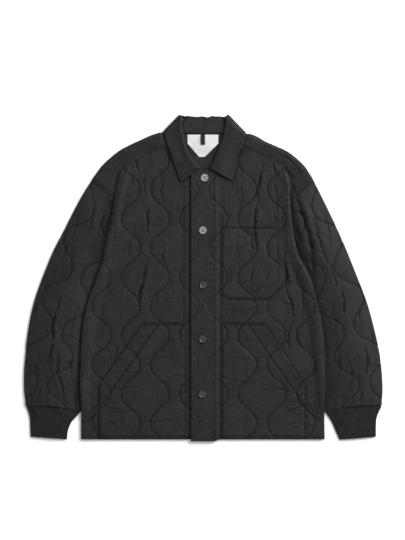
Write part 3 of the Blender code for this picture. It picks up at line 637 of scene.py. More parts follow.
def make_mesh(name: str, points: Array, faces: Array, corner_uv: Optional[Array] = None) -> bpy.types.Object:
    """A smooth mesh object at the origin, pressed flat where it would sink below the surface it lies on.

    Args:
        name: Name of the object.
        points: Points in millimetres, n by 3.
        faces: Corners of each face, n by 3 or n by 4.
        corner_uv: The cloth's coordinates at each corner, in millimetres.

    Returns:
        The new object, linked to the scene.
    """
    points = np.array(points, np.float64)
    points[:, 2] = np.maximum(points[:, 2], 0.0)
    sides = faces.shape[1]
    mesh = bpy.data.meshes.new(name)
    mesh.vertices.add(len(points))
    mesh.vertices.foreach_set("co", (points * MM).ravel())
    mesh.loops.add(faces.size)
    mesh.loops.foreach_set("vertex_index", faces.ravel().astype(np.int32))
    mesh.polygons.add(len(faces))
    mesh.polygons.foreach_set("loop_start", np.arange(0, faces.size, sides, dtype=np.int32))
    mesh.polygons.foreach_set("loop_total", np.full(len(faces), sides, dtype=np.int32))
    if corner_uv is not None:
        layer = mesh.uv_layers.new(name="cloth")
        layer.data.foreach_set("uv", (corner_uv * MM).astype(np.float32).ravel())
    mesh.update(calc_edges=True)
    mesh.validate()
    mesh.shade_smooth()
    obj = bpy.data.objects.new(name, mesh)
    bpy.context.scene.collection.objects.link(obj)
    return obj


def flat_pattern(middle: Array) -> Array:
    """The cloth's own coordinates on a panel that lies flat: its x and y."""
    return middle[..., :2].copy()


def refine(grid: Array, axis: int, step: float, fine: Sequence[tuple[float, float, float]] = ()) -> Array:
    """Resample a coarse grid of points along one axis with smooth curves.

    The places are mean arc lengths along the axis, and each coordinate follows the cubic Hermite curve of
    its values there.

    Args:
        grid: Rows by columns by values; the first three values are x, y and z.
        axis: 0 for rows, 1 for columns.
        step: Spacing of the new places.
        fine: (start, end, step) for stretches with their own spacing; a negative start counts from the end.

    Returns:
        The finer grid.
    """
    values = np.moveaxis(grid, axis, 0)
    runs = np.linalg.norm(np.diff(values[..., :3], axis=0), axis=2).mean(axis=1)
    places = np.concatenate([[0.0], np.cumsum(runs)])
    length = places[-1]
    at = np.linspace(0.0, length, max(3, int(round(length / step)) + 1))
    for start, end, near in fine:
        low, high = (start, end) if start >= 0 else (length + start, length + end)
        kept = at[(at < low - near / 2) | (at > high + near / 2)]
        at = np.unique(np.concatenate([kept, np.linspace(low, high, int(round((high - low) / near)) + 1)]))
    slopes = np.gradient(values, places, axis=0)
    i = np.clip(np.searchsorted(places, at) - 1, 0, len(places) - 2)
    width = (places[i + 1] - places[i])[:, None, None]
    t = ((at - places[i]) / (places[i + 1] - places[i]))[:, None, None]
    start = (1 + 2 * t) * (1 - t) ** 2 * values[i] + t * (1 - t) ** 2 * width * slopes[i]
    end = t * t * (3 - 2 * t) * values[i + 1] + t * t * (t - 1) * width * slopes[i + 1]
    return np.moveaxis(start + end, 0, axis)


def inside_gap(x: Array, y: Array, outline: Sequence[tuple[float, float]]) -> Array:
    """Signed distance to a closed outline, negative inside: even crossings of a ray to +x are outside."""
    corners = np.asarray(outline, float)
    inside = np.zeros(np.shape(x), bool)
    for (ax, ay), (bx, by) in zip(corners, np.roll(corners, -1, axis=0)):
        if ay != by:
            crosses = (ay > y) != (by > y)
            inside ^= crosses & (x < ax + (y - ay) * (bx - ax) / (by - ay))
    gap, _ = path_distance(x, y, [*outline, outline[0]])
    return np.where(inside, -gap, gap)


def arc_pattern(middle: Array) -> Array:
    """The cloth's own coordinates on a grid: mean arc lengths along its columns and its rows."""
    across = np.linalg.norm(np.diff(middle, axis=1), axis=2).mean(axis=0)
    along = np.linalg.norm(np.diff(middle, axis=0), axis=2).mean(axis=1)
    u = np.concatenate([[0.0], np.cumsum(across)])
    v = np.concatenate([[0.0], np.cumsum(along)])
    return np.stack(np.broadcast_arrays(u[None, :], v[:, None]), axis=-1)


def stack(x: Array, y: Array, z: Array) -> Array:
    """One grid of points from grids of x, y and z."""
    return np.stack(np.broadcast_arrays(x, y, z), axis=-1).astype(float)


@dataclass
class Stitches:
    """Lines of thread: one short rounded bar for each stitch, joined in one mesh.

    Attributes:
        name: Name of the piece.
        length: Length of a stitch that shows.
        pitch: Distance from one stitch to the next.
        radius: Half the thickness of the thread.
    """

    name: str
    length: float = 2.4
    pitch: float = 3.2
    radius: float = 0.28
    lines: list[Array] = field(default_factory=list)

    def add(self, path: Array) -> None:
        """Take a path of points that lie on the surface, n by 3."""
        self.lines.append(np.asarray(path, float))

    def starts_and_ends(self) -> tuple[Array, Array]:
        """Both ends of every stitch, spaced by arc length along each path."""
        starts, ends = [], []
        for path in self.lines:
            runs = np.linalg.norm(np.diff(path, axis=0), axis=1)
            places = np.concatenate([[0.0], np.cumsum(runs)])
            first = np.arange(0.3, places[-1] - self.length, self.pitch)
            for at, kept in ((first, starts), (first + self.length, ends)):
                kept.append(np.stack([np.interp(at, places, path[:, k]) for k in range(3)], axis=1))
        return np.concatenate(starts), np.concatenate(ends)

    def build(self) -> bpy.types.Object:
        """Five-sided bars, full in the middle and drawn to small ends that dip into the cloth."""
        start, end = self.starts_and_ends()
        along = end - start
        along /= np.linalg.norm(along, axis=1, keepdims=True)
        side = np.cross(along, np.array([0.0, 0.0, 1.0]))
        side /= np.maximum(np.linalg.norm(side, axis=1, keepdims=True), 1e-9)
        up = np.cross(side, along)
        shares, swell = np.array([0.0, 0.18, 0.5, 0.82, 1.0]), np.array([0.35, 0.9, 1.0, 0.9, 0.35])
        rise = np.array([-0.2, 0.12, 0.22, 0.12, -0.2])
        angles = 2 * math.pi * np.arange(5) / 5
        centre = start[:, None] + (end - start)[:, None] * shares[None, :, None]
        centre = centre + up[:, None] * rise[None, :, None]
        ring = side[:, None] * np.cos(angles)[None, :, None] + up[:, None] * np.sin(angles)[None, :, None]
        points = centre[:, :, None] + ring[:, None] * (self.radius * swell)[None, :, None, None]
        count, rings, sides = points.shape[:3]
        base = (np.arange(count) * rings * sides)[:, None, None]
        r, s = np.meshgrid(np.arange(rings - 1), np.arange(sides), indexing="ij")
        a, b = r * sides + s, r * sides + (s + 1) % sides
        walls = np.stack([a, a + sides, b + sides, b], axis=-1).reshape(1, -1, 4) + base
        fan = np.array([[0, 1, 2], [0, 2, 3], [0, 3, 4]])
        first = fan[None] + base
        last = fan[:, ::-1][None] + base + (rings - 1) * sides
        walls = walls.reshape(-1, 4)
        caps = [first.reshape(-1, 3), last.reshape(-1, 3)]
        tris = np.concatenate([walls[:, [0, 1, 2]], walls[:, [0, 2, 3]], *caps])
        return make_mesh(self.name, points.reshape(-1, 3), tris)


# ------------------------------------------------------------------ finishes


class NodePad:
    """A small helper that adds nodes to one node tree and joins them."""

    def __init__(self, tree: bpy.types.NodeTree) -> None:
        """Keep the tree."""
        self.tree = tree

    def add(self, kind: str, **settings: object) -> bpy.types.Node:
        """A new node of that kind, with its properties set."""
        node = self.tree.nodes.new(kind)
        for key, value in settings.items():
            setattr(node, key, value)
        return node

    def join(self, source: bpy.types.NodeSocket, target: bpy.types.NodeSocket) -> None:
        """Link two sockets."""
        self.tree.links.new(source, target)

    def math(self, operation: str, *values: object, clamp: bool = False) -> bpy.types.NodeSocket:
        """A Math node fed by sockets or numbers; gives its output."""
        node = self.add("ShaderNodeMath", operation=operation, use_clamp=clamp)
        for socket, value in zip(node.inputs, values):
            if isinstance(value, (int, float)):
                socket.default_value = value
            else:
                self.join(value, socket)
        return node.outputs[0]


def begin_material(name: str) -> tuple[bpy.types.Material, NodePad, bpy.types.Node]:
    """A new material with its node pad and its shader."""
    made = bpy.data.materials.new(name)
    made.use_nodes = True
    return made, NodePad(made.node_tree), made.node_tree.nodes["Principled BSDF"]


def new_group(
    name: str, inputs: Sequence[tuple[str, str, object]], outputs: Sequence[str]
) -> tuple[NodePad, dict]:
    """An empty shader node group.

    Args:
        name: Name of the group.
        inputs: (name, socket type, first value) of each input.
        outputs: Names of its value outputs.

    Returns:
        A pad for its tree, and its "in" and "out" nodes.
    """
    tree = bpy.data.node_groups.new(name, "ShaderNodeTree")
    for label, kind, value in inputs:
        socket = tree.interface.new_socket(label, in_out="INPUT", socket_type=kind)
        if value is not None:
            socket.default_value = value
    for label in outputs:
        tree.interface.new_socket(label, in_out="OUTPUT", socket_type="NodeSocketFloat")
    pad = NodePad(tree)
    return pad, {"in": pad.add("NodeGroupInput"), "out": pad.add("NodeGroupOutput")}


def weave_group() -> bpy.types.NodeTree:
    """Plain weave: threads over and under each other, with slubs and a soft mottle.

    Warp and weft are sine waves across u and v; their product of signs picks which one lies on top.
    """
    pad, ends = new_group(
        "plain_weave",
        [("Cloth", "NodeSocketVector", None), ("Threads", "NodeSocketFloat", 1900.0)],
        ["Height", "Mottle"],
    )
    split = pad.add("ShaderNodeSeparateXYZ")
    pad.join(ends["in"].outputs["Cloth"], split.inputs[0])
    waves = []
    for axis in (0, 1):
        angle = pad.math("MULTIPLY", split.outputs[axis], ends["in"].outputs["Threads"])
        angle = pad.math("MULTIPLY", angle, 2 * math.pi)
        waves.append(pad.math("SINE", angle))
    crossing = pad.math("MULTIPLY", waves[0], waves[1])
    slub = pad.add("ShaderNodeTexNoise", noise_dimensions="2D")
    slub.inputs["Scale"].default_value = 620.0
    slub.inputs["Detail"].default_value = 2.0
    pad.join(ends["in"].outputs["Cloth"], slub.inputs["Vector"])
    height = pad.math("MULTIPLY_ADD", crossing, 0.22, 0.5)
    height = pad.math("ADD", height, pad.math("MULTIPLY_ADD", slub.outputs["Fac"], 0.6, -0.3))
    pad.join(height, ends["out"].inputs["Height"])
    total = None
    for scale, share in ((18.0, 0.35), (75.0, 0.35), (310.0, 0.3)):
        cloud = pad.add("ShaderNodeTexNoise", noise_dimensions="2D")
        cloud.inputs["Scale"].default_value = scale
        cloud.inputs["Detail"].default_value = 3.0
        pad.join(ends["in"].outputs["Cloth"], cloud.inputs["Vector"])
        part = pad.math("MULTIPLY", cloud.outputs["Fac"], share)
        total = part if total is None else pad.math("ADD", total, part)
    pad.join(total, ends["out"].inputs["Mottle"])
    return pad.tree


def crinkle_group() -> bpy.types.NodeTree:
    """Fine creases of limp cloth: sharp-ridged noise, drawn out one way here and across there."""
    pad, ends = new_group("crinkles", [("Cloth", "NodeSocketVector", None)], ["Height"])
    where = pad.add("ShaderNodeTexNoise", noise_dimensions="2D")
    where.inputs["Scale"].default_value = 9.0
    pad.join(ends["in"].outputs["Cloth"], where.inputs["Vector"])
    ways = []
    for stretch in ((1.0, 0.42, 1.0), (0.36, 1.0, 1.0)):
        drawn = pad.add("ShaderNodeMapping")
        drawn.inputs["Scale"].default_value = stretch
        drawn.inputs["Rotation"].default_value = (0.0, 0.0, 0.55)
        pad.join(ends["in"].outputs["Cloth"], drawn.inputs["Vector"])
        ridges = pad.add("ShaderNodeTexNoise", noise_dimensions="2D", noise_type="RIDGED_MULTIFRACTAL")
        ridges.inputs["Scale"].default_value = 62.0
        ridges.inputs["Detail"].default_value = 3.0
        ridges.inputs["Distortion"].default_value = 1.3
        pad.join(drawn.outputs["Vector"], ridges.inputs["Vector"])
        ways.append(ridges.outputs["Fac"])
    pick = pad.add("ShaderNodeMix", data_type="FLOAT")
    spread = pad.math("MULTIPLY_ADD", where.outputs["Fac"], 3.0, -1.0, clamp=True)
    pad.join(spread, pick.inputs[0])
    pad.join(ways[0], pick.inputs[2])
    pad.join(ways[1], pick.inputs[3])
    pad.join(pick.outputs[0], ends["out"].inputs["Height"])
    return pad.tree


def quilting_group() -> bpy.types.NodeTree:
    """The quilting lines of the cloth, worked out from its own coordinates as in wave_gap.

    Stitch is 1 on a thread and 0 off it, broken into 3 mm dashes; Dip is 0 on the line and 1 away from it.
    """
    pad, ends = new_group("quilting_lines", [("Cloth", "NodeSocketVector", None)], ["Stitch", "Dip"])
    split = pad.add("ShaderNodeSeparateXYZ")
    pad.join(ends["in"].outputs["Cloth"], split.inputs[0])
    u = pad.math("MULTIPLY", split.outputs[0], 1000.0)
    v = pad.math("MULTIPLY", split.outputs[1], 1000.0)
    angle = pad.math("MULTIPLY", pad.math("SUBTRACT", v, 1.0), 2 * math.pi / WAVE_PERIOD)
    third = pad.math("MULTIPLY", pad.math("COSINE", pad.math("MULTIPLY", angle, 3.0)), 0.06)
    swing = pad.math("MULTIPLY", pad.math("SUBTRACT", pad.math("COSINE", angle), third), WAVE_REACH)
    slope = pad.math("MULTIPLY", pad.math("SINE", angle), WAVE_REACH * 2 * math.pi / WAVE_PERIOD)
    square = pad.math("SQRT", pad.math("MULTIPLY_ADD", slope, slope, 1.0))
    span = 2 * WAVE_PITCH
    gaps = []
    for operation, offset in (("SUBTRACT", 0.5 * WAVE_PITCH), ("ADD", 1.5 * WAVE_PITCH)):
        place = pad.math(operation, pad.math("SUBTRACT", u, offset), swing)
        gaps.append(pad.math("PINGPONG", place, span / 2))
    gap = pad.math("DIVIDE", pad.math("MINIMUM", *gaps), square)
    dip = pad.math("SUBTRACT", 1.0, pad.math("EXPONENT", pad.math("MULTIPLY", gap, -0.75)))
    pad.join(dip, ends["out"].inputs["Dip"])
    near = pad.math("LESS_THAN", gap, 0.5)
    dash = pad.math("GREATER_THAN", pad.math("PINGPONG", pad.math("MULTIPLY", v, square), 1.6), 0.35)
    pad.join(pad.math("MULTIPLY", near, dash), ends["out"].inputs["Stitch"])
    return pad.tree


@dataclass(frozen=True)
class ClothFinish:
    """A woven cloth, matt with a little sheen; shade is painted into its colour from a point attribute.

    Attributes:
        name: Name of the material.
        dark: Colour in the hollows of the mottle.
        light: Colour on its peaks.
        roughness: Roughness of the cloth.
        sheen: Strength of the sheen at grazing angles.
        threads: Threads to the metre.
        quilted: Whether the quilting lines run over it, in bump and in painted shade.
        weave_depth: Height of the weave's bump in metres.
        crinkle: Strength of the fine creases of worn cloth.
    """

    name: str
    dark: tuple[float, float, float]
    light: tuple[float, float, float]
    roughness: float = 0.6
    sheen: float = 0.06
    threads: float = 1900.0
    quilted: bool = False
    weave_depth: float = 0.00012
    crinkle: float = 0.0

    def material(self) -> bpy.types.Material:
        """The named material, made once."""
        found = bpy.data.materials.get(self.name)
        if found:
            return found
        made, pad, shader = begin_material(self.name)
        uv = pad.add("ShaderNodeUVMap", uv_map="cloth")
        weave = pad.add("ShaderNodeGroup", node_tree=shared("plain_weave", weave_group))
        weave.inputs["Threads"].default_value = self.threads
        pad.join(uv.outputs["UV"], weave.inputs["Cloth"])
        tone = pad.add("ShaderNodeValToRGB")
        tone.color_ramp.elements[0].position, tone.color_ramp.elements[1].position = 0.36, 0.64
        tone.color_ramp.elements[0].color = (*self.dark, 1.0)
        tone.color_ramp.elements[1].color = (*self.light, 1.0)
        pad.join(weave.outputs["Mottle"], tone.inputs["Fac"])
        # Painted shade: the point attribute darkens the colour in folds, seams and beside raised parts.
        shade_paint = pad.add("ShaderNodeAttribute", attribute_name="painted_shade")
        dim = pad.add("ShaderNodeMix", data_type="RGBA", blend_type="MULTIPLY")
        dim.inputs[7].default_value = (0.16, 0.16, 0.17, 1.0)
        pad.join(pad.math("MULTIPLY", shade_paint.outputs["Fac"], 0.92), dim.inputs[0])
        pad.join(tone.outputs["Color"], dim.inputs[6])
        colour = dim.outputs[2]
        rough = pad.math("MULTIPLY_ADD", weave.outputs["Mottle"], 0.16, self.roughness - 0.08)
        bump = pad.add("ShaderNodeBump")
        bump.inputs["Strength"].default_value = 0.7
        bump.inputs["Distance"].default_value = self.weave_depth
        pad.join(weave.outputs["Height"], bump.inputs["Height"])
        if self.crinkle:
            crush = pad.add("ShaderNodeGroup", node_tree=shared("crinkles", crinkle_group))
            pad.join(uv.outputs["UV"], crush.inputs["Cloth"])
            worn = pad.add("ShaderNodeBump")
            worn.inputs["Strength"].default_value = self.crinkle
            worn.inputs["Distance"].default_value = 0.0022
            pad.join(crush.outputs["Height"], worn.inputs["Height"])
            pad.join(bump.outputs["Normal"], worn.inputs["Normal"])
            bump = worn
        if self.quilted:
            lines = pad.add("ShaderNodeGroup", node_tree=shared("quilting_lines", quilting_group))
            pad.join(uv.outputs["UV"], lines.inputs["Cloth"])
            # Painted shade along the quilting lines: the colour darkens towards each line, less where the
            # faint attribute is high.
            shade = pad.add("ShaderNodeMix", data_type="RGBA", blend_type="MULTIPLY")
            shade.inputs[0].default_value = 1.0
            faint = pad.add("ShaderNodeAttribute", attribute_name="faint")
            share = pad.math("MULTIPLY_ADD", faint.outputs["Fac"], -0.45, 0.72)
            lifted = pad.math("SUBTRACT", 1.0, lines.outputs["Dip"])
            depth = pad.math("SUBTRACT", 1.0, pad.math("MULTIPLY", lifted, share))
            grey = pad.add("ShaderNodeCombineColor")
            for socket in grey.inputs:
                pad.join(depth, socket)
            pad.join(colour, shade.inputs[6])
            pad.join(grey.outputs[0], shade.inputs[7])
            colour = shade.outputs[2]
            groove = pad.add("ShaderNodeBump")
            groove.inputs["Strength"].default_value = 0.8
            groove.inputs["Distance"].default_value = 0.0012
            height = pad.math("ADD", lines.outputs["Dip"], pad.math("MULTIPLY", lines.outputs["Stitch"], 0.3))
            pad.join(height, groove.inputs["Height"])
            pad.join(bump.outputs["Normal"], groove.inputs["Normal"])
            bump = groove
        pad.join(colour, shader.inputs["Base Color"])
        pad.join(rough, shader.inputs["Roughness"])
        pad.join(bump.outputs["Normal"], shader.inputs["Normal"])
        shader.inputs["Sheen Weight"].default_value = self.sheen
        shader.inputs["Sheen Roughness"].default_value = 0.45
        shader.inputs["Specular IOR Level"].default_value = 0.1
        return made


@dataclass(frozen=True)
class ThreadFinish:
    """Twisted sewing thread: fine slanting twist in colour and bump."""

    name: str
    colour: tuple[float, float, float]

    def material(self) -> bpy.types.Material:
        """The named material, made once."""
        found = bpy.data.materials.get(self.name)
        if found:
            return found
        made, pad, shader = begin_material(self.name)
        place = pad.add("ShaderNodeTexCoord")
        twist = pad.add("ShaderNodeTexWave", bands_direction="DIAGONAL")
        twist.inputs["Scale"].default_value = 900.0
        twist.inputs["Distortion"].default_value = 1.5
        pad.join(place.outputs["Object"], twist.inputs["Vector"])
        tone = pad.add("ShaderNodeValToRGB")
        tone.color_ramp.elements[0].color = (*(c * 0.6 for c in self.colour), 1.0)
        tone.color_ramp.elements[1].color = (*(c * 1.3 for c in self.colour), 1.0)
        pad.join(twist.outputs["Fac"], tone.inputs["Fac"])
        pad.join(tone.outputs["Color"], shader.inputs["Base Color"])
        bump = pad.add("ShaderNodeBump")
        bump.inputs["Strength"].default_value = 0.5
        bump.inputs["Distance"].default_value = 0.0001
        pad.join(twist.outputs["Fac"], bump.inputs["Height"])
        pad.join(bump.outputs["Normal"], shader.inputs["Normal"])
        shader.inputs["Roughness"].default_value = 0.55
        return made


@dataclass(frozen=True)
class HornFinish:
    """Polished horn-like resin for the buttons, with drifting streaks and a satin wear."""

    name: str
    dark: tuple[float, float, float]
    light: tuple[float, float, float]
    roughness: float = 0.34
    worn: float = 0.25
    streak_scale: float = 210.0

    def material(self) -> bpy.types.Material:
        """The named material, made once."""
        found = bpy.data.materials.get(self.name)
        if found:
            return found
        made, pad, shader = begin_material(self.name)
        place = pad.add("ShaderNodeTexCoord")
        streaks = pad.add("ShaderNodeTexNoise")
        streaks.inputs["Scale"].default_value = self.streak_scale
        streaks.inputs["Detail"].default_value = 4.0
        streaks.inputs["Distortion"].default_value = 1.2
        pad.join(place.outputs["Object"], streaks.inputs["Vector"])
        tone = pad.add("ShaderNodeValToRGB")
        tone.color_ramp.elements[0].position, tone.color_ramp.elements[1].position = 0.35, 0.65
        tone.color_ramp.elements[0].color = (*self.dark, 1.0)
        tone.color_ramp.elements[1].color = (*self.light, 1.0)
        pad.join(streaks.outputs["Fac"], tone.inputs["Fac"])
        pad.join(tone.outputs["Color"], shader.inputs["Base Color"])
        satin = pad.math("MULTIPLY_ADD", streaks.outputs["Fac"], self.worn, self.roughness)
        pad.join(satin, shader.inputs["Roughness"])
        bump = pad.add("ShaderNodeBump")
        bump.inputs["Strength"].default_value = 0.25
        bump.inputs["Distance"].default_value = 0.0002
        pad.join(streaks.outputs["Fac"], bump.inputs["Height"])
        pad.join(bump.outputs["Normal"], shader.inputs["Normal"])
        shader.inputs["Coat Weight"].default_value = 0.08
        return made


def shared(name: str, make: Callable[[], bpy.types.NodeTree]) -> bpy.types.NodeTree:
    """The node group of that name, made once."""
    return bpy.data.node_groups.get(name) or make()


CHARCOAL_DARK, CHARCOAL_LIGHT = (0.0122, 0.0122, 0.0124), (0.0189, 0.0189, 0.0192)
QUILTED = ClothFinish("quilted_charcoal", CHARCOAL_DARK, CHARCOAL_LIGHT, quilted=True, crinkle=0.55)
PLAINCLOTH = ClothFinish("plain_charcoal", CHARCOAL_DARK, CHARCOAL_LIGHT, crinkle=0.4)
RIB_KNIT = ClothFinish(
    "rib_charcoal", (0.0094, 0.0094, 0.0096), (0.0146, 0.0146, 0.0149), 0.85, 0.06, 1300.0, weave_depth=0.0003
)
PATCH_CLOTH = ClothFinish("patch_white", (0.45, 0.45, 0.44), (0.58, 0.58, 0.57), 0.7, 0.1, 2100.0)
SEAM_THREAD = ThreadFinish("seam_thread", (0.011, 0.0112, 0.012))
# A lighter copy of the grey horn: painted reflection for the top two buttons.
HORN_PAINTED_REFLECTION = HornFinish("horn_resin_painted_reflection", (0.13, 0.13, 0.13), (0.26, 0.26, 0.255))
GREY_HORN = HornFinish("grey_horn_resin", (0.018, 0.0182, 0.019), (0.032, 0.032, 0.033))


def finish_piece(obj: bpy.types.Object, finish: ClothFinish | ThreadFinish, slot: str, *nodes: str) -> None:
    """Dress a piece, hide the CAD nodes it stands for, and let it ride on the body."""
    obj.data.materials.append(finish.material())
    if nodes:
        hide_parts(*nodes)
    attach(obj, BODY)


# ------------------------------------------------------------------ outlines of the layers

NECKLINE = ((73.5, 321), (68, 308), (57, 293), (38, 273), (16, 260))
NECKLINE_CENTRE_Y = 256.0
BACK_NECK_Y = 349.0
POCKET_TOP, POCKET_HEM = -110.5, -384.5
CHEST_LEFT, CHEST_RIGHT, CHEST_TOP, CHEST_BOTTOM, CHEST_CORNER = 42.5, 177.0, 118.0, -51.0, 20.0


class YokeRow(NamedTuple):
    """One line across the shoulder, from the seam on the front, over the fold, to the seam on the back."""

    front_out: float
    front_y: float
    left_out: float
    left_y: float
    right_out: float
    right_y: float
    back_out: float
    back_y: float

    def fold(self, side: Side) -> tuple[float, float]:
        """Where the line turns over the shoulder."""
        return (self.left_out, self.left_y) if side is Side.LEFT else (self.right_out, self.right_y)


YOKE = (
    YokeRow(74, 321, 84, 352, 85, 351, 64, 346),
    YokeRow(86, 315.5, 98, 348.5, 101, 346.5, 78, 338),
    YokeRow(101, 309, 117, 343.5, 119, 341.5, 96, 327),
    YokeRow(130, 296, 148, 331, 148, 327, 123, 311),
    YokeRow(160, 282, 176, 318, 175, 315, 153, 292),
    YokeRow(191.5, 269, 206, 300, 205, 300, 190.5, 271),
)


class TuckedYokeRow(NamedTuple):
    """One line across the part of the yoke whose lower edge lies under the front's armhole edge."""

    y: float
    under: float
    left_out: float
    left_y: float
    right_out: float
    right_y: float
    front_mid: float

    def fold(self, side: Side) -> tuple[float, float]:
        """Where the line turns over the shoulder."""
        return (self.left_out, self.left_y) if side is Side.LEFT else (self.right_out, self.right_y)


YOKE_TUCKED = (
    TuckedYokeRow(257, -1, 223, 286, 222, 287, 4.1),
    TuckedYokeRow(240, 4, 242, 268, 242, 268, 3.0),
    TuckedYokeRow(212, 9, 257, 248, 255, 248, 3.4),
    TuckedYokeRow(178, SLEEVE_TUCK, 269, 233, 265, 233, 4.5),
)


class PocketForm(NamedTuple):
    """A lower pocket: its inner edge, its slanted opening's top, its outer edge and the slant's end."""

    inner: float
    top: float
    outer: float
    slant_end: float


POCKET = {
    Side.LEFT: PocketForm(-42.0, -145.0, -251.0, -259.0),
    Side.RIGHT: PocketForm(42.5, 147.0, 246.0, -261.0),
}

COLLAR_OUTLINE = {
    Side.LEFT: (
        (0, 262), (-7, 264), (-55, 229), (-63, 254), (-73, 282),
        (-83, 312), (-97, 350), (-56, 392), (0, 392),
    ),
    Side.RIGHT: (
        (0, 262), (16, 262), (69, 232), (75, 256), (82, 285),
        (91, 315), (102, 348), (59, 392), (0, 392),
    ),
}


def pocket_outline(side: Side) -> tuple[tuple[float, float], ...]:
    """Corners of a lower pocket."""
    form = POCKET[side]
    hem = POCKET_HEM
    return (
        (form.inner, hem),
        (form.inner, POCKET_TOP),
        (form.top, POCKET_TOP),
        (form.outer, form.slant_end),
        (form.outer, hem),
    )


CHEST_OUTLINE = (
    (CHEST_LEFT, CHEST_TOP),
    (CHEST_RIGHT, CHEST_TOP),
    (CHEST_RIGHT, CHEST_BOTTOM + CHEST_CORNER),
    (CHEST_RIGHT - 6, CHEST_BOTTOM + 6),
    (CHEST_RIGHT - CHEST_CORNER, CHEST_BOTTOM),
    (CHEST_LEFT + CHEST_CORNER, CHEST_BOTTOM),
    (CHEST_LEFT + 6, CHEST_BOTTOM + 6),
    (CHEST_LEFT, CHEST_BOTTOM + CHEST_CORNER),
)

ARMHOLE_STITCH = {
    Side.LEFT: (
        (-186, 264), (-192, 240), (-198, 222), (-206, 186),
        (-211, 137), (-214, 90), (-221, 62), (-232, 38),
    ),
    Side.RIGHT: (
        (186, 264), (193, 240), (199, 222), (200, 186),
        (203, 146), (207, 112), (213, 78), (222, 48),
    ),
}
FRONT_SEAMS = {
    Side.LEFT: (
        SeamLine(ARMHOLE_STITCH[Side.LEFT], 0.8, 1.6, 0.35),
        SeamLine(((-47, 262), (-47, -386)), 1.0, 1.5, 0.3),
        SeamLine(((-41, 262), (-41, -386)), 0.4, 1.3, 0.2),
        SeamLine(((-36, -380.6), (-292, -380.6)), 1.1, 1.6, 0.4),
    ),
    Side.RIGHT: (
        SeamLine(ARMHOLE_STITCH[Side.RIGHT], 0.8, 1.6, 0.35),
        SeamLine(((-25, 254), (-25, -390)), 0.6, 1.4, 0.25),
        SeamLine(((26, 254), (26, -390)), 1.0, 1.5, 0.55),
        SeamLine(((48, -380.6), (290, -380.6)), 1.1, 1.6, 0.4),
        SeamLine(((-29, -385), (24, -385)), 0.7, 1.5, 0.3),
        SeamLine(((175, 184), (175, 118)), 0.6, 1.2, 0.2),
        SeamLine(((42.5, 116), (42.5, -110)), 1.1, 1.5, 0.45),
    ),
}
POCKET_SEAMS = {
    Side.LEFT: (
        SeamLine(((-110, -113), (-248, -310)), 1.3, 2.1, 0.6),
        SeamLine(((-139, -112), (-246, -262)), 0.3, 1.5, 0.3),
        SeamLine(((-44.5, -113), (-44.5, -384)), 1.2, 1.5, 0.9),
        SeamLine(((-248.5, -262), (-248.5, -384)), 1.2, 1.5, 0.9),
        SeamLine(((-44, -113.5), (-142, -113.5)), 1.1, 1.9, 0.55),
        SeamLine(((-44, -379), (-250, -379)), 1.1, 1.6, 0.4),
    ),
    Side.RIGHT: (
        SeamLine(((108, -113), (244, -310)), 1.3, 2.1, 0.6),
        SeamLine(((141, -112), (241, -264)), 0.3, 1.5, 0.3),
        SeamLine(((45, -113), (45, -384)), 1.2, 1.5, 0.9),
        SeamLine(((243.5, -264), (243.5, -384)), 1.2, 1.5, 0.9),
        SeamLine(((45, -113.5), (144, -113.5)), 1.1, 1.9, 0.55),
        SeamLine(((44, -379), (245, -379)), 1.1, 1.6, 0.4),
    ),
}


def front_top_y(out: Array) -> Array:
    """Height of a front's upper edge: the neckline, then the yoke seam."""
    neck = sorted(NECKLINE)
    neck_out = [-UNDERLAY_EDGE, 0.0] + [row[0] for row in neck]
    neck_y = [NECKLINE_CENTRE_Y, NECKLINE_CENTRE_Y + 1] + [row[1] for row in neck]
    seam_out = [row.front_out for row in YOKE]
    on_seam = np.interp(out, seam_out, [row.front_y + SEAM for row in YOKE])
    return np.where(out < seam_out[0], np.interp(out, neck_out, neck_y), on_seam)


def front_drape(side: Side, x: Array, y: Array) -> tuple[Array, Array]:
    """How limp cloth lies on a front and the pockets on it: listed folds, and fine streaks.

    Above the pockets the streaks run up and down; below them they run across. Nothing is left of it under
    the collar, and almost nothing on the placket, where the buttons sit. Gives the height and the painted
    shade: shade in the folds, and a painted shadow on the front round the collar's edge.
    """
    upright = ease((y + 150.0) / 90.0)
    seed = 31 if side is Side.LEFT else 47
    folds, painted_shade = shape_of(FRONT_CREASES[side], x, y)
    total = folds + 0.6 * limp_relief(x, y, seed, upright)
    from_collar = inside_gap(x, y, COLLAR_OUTLINE[side])
    collar = ease((from_collar - 1.0) / 10.0)
    # Painted shadow of the collar on the cloth round its edge.
    painted_shade = np.maximum(painted_shade, 0.55 * bell(np.maximum(from_collar, 0.0), 7.0))
    placket = ease((abs(x - 5.0) - 36.0) / 14.0)
    side_edge = ease((edge_out(BODY_EDGE, side, y) - abs(x)) / 12.0)
    return total * collar * placket * (0.35 + 0.65 * side_edge), painted_shade


def split_drape(total: Array, floor: Array | float) -> tuple[Array, Array]:
    """Part of the drape that moves the whole wall, down to minus floor, and the rest, which thins it."""
    moved = np.maximum(total, -np.asarray(floor, float))
    return moved, total - moved


@dataclass
class Panel:
    """A built piece of cloth and the way to find points on its outer face.

    Attributes:
        shell: The wall it was built from.
        obj: The mesh object.
    """

    shell: Shell
    obj: bpy.types.Object

    def on_face(self, rows: Array, columns: Array) -> Array:
        """Points of the outer face at those grid rows and columns."""
        half = self.shell.wall / 2
        extra = np.broadcast_to(self.shell.outer, self.shell.middle.shape[:2])
        faces = self.shell.middle + self.shell.normals() * (half + extra)[..., None]
        return faces[rows, columns]


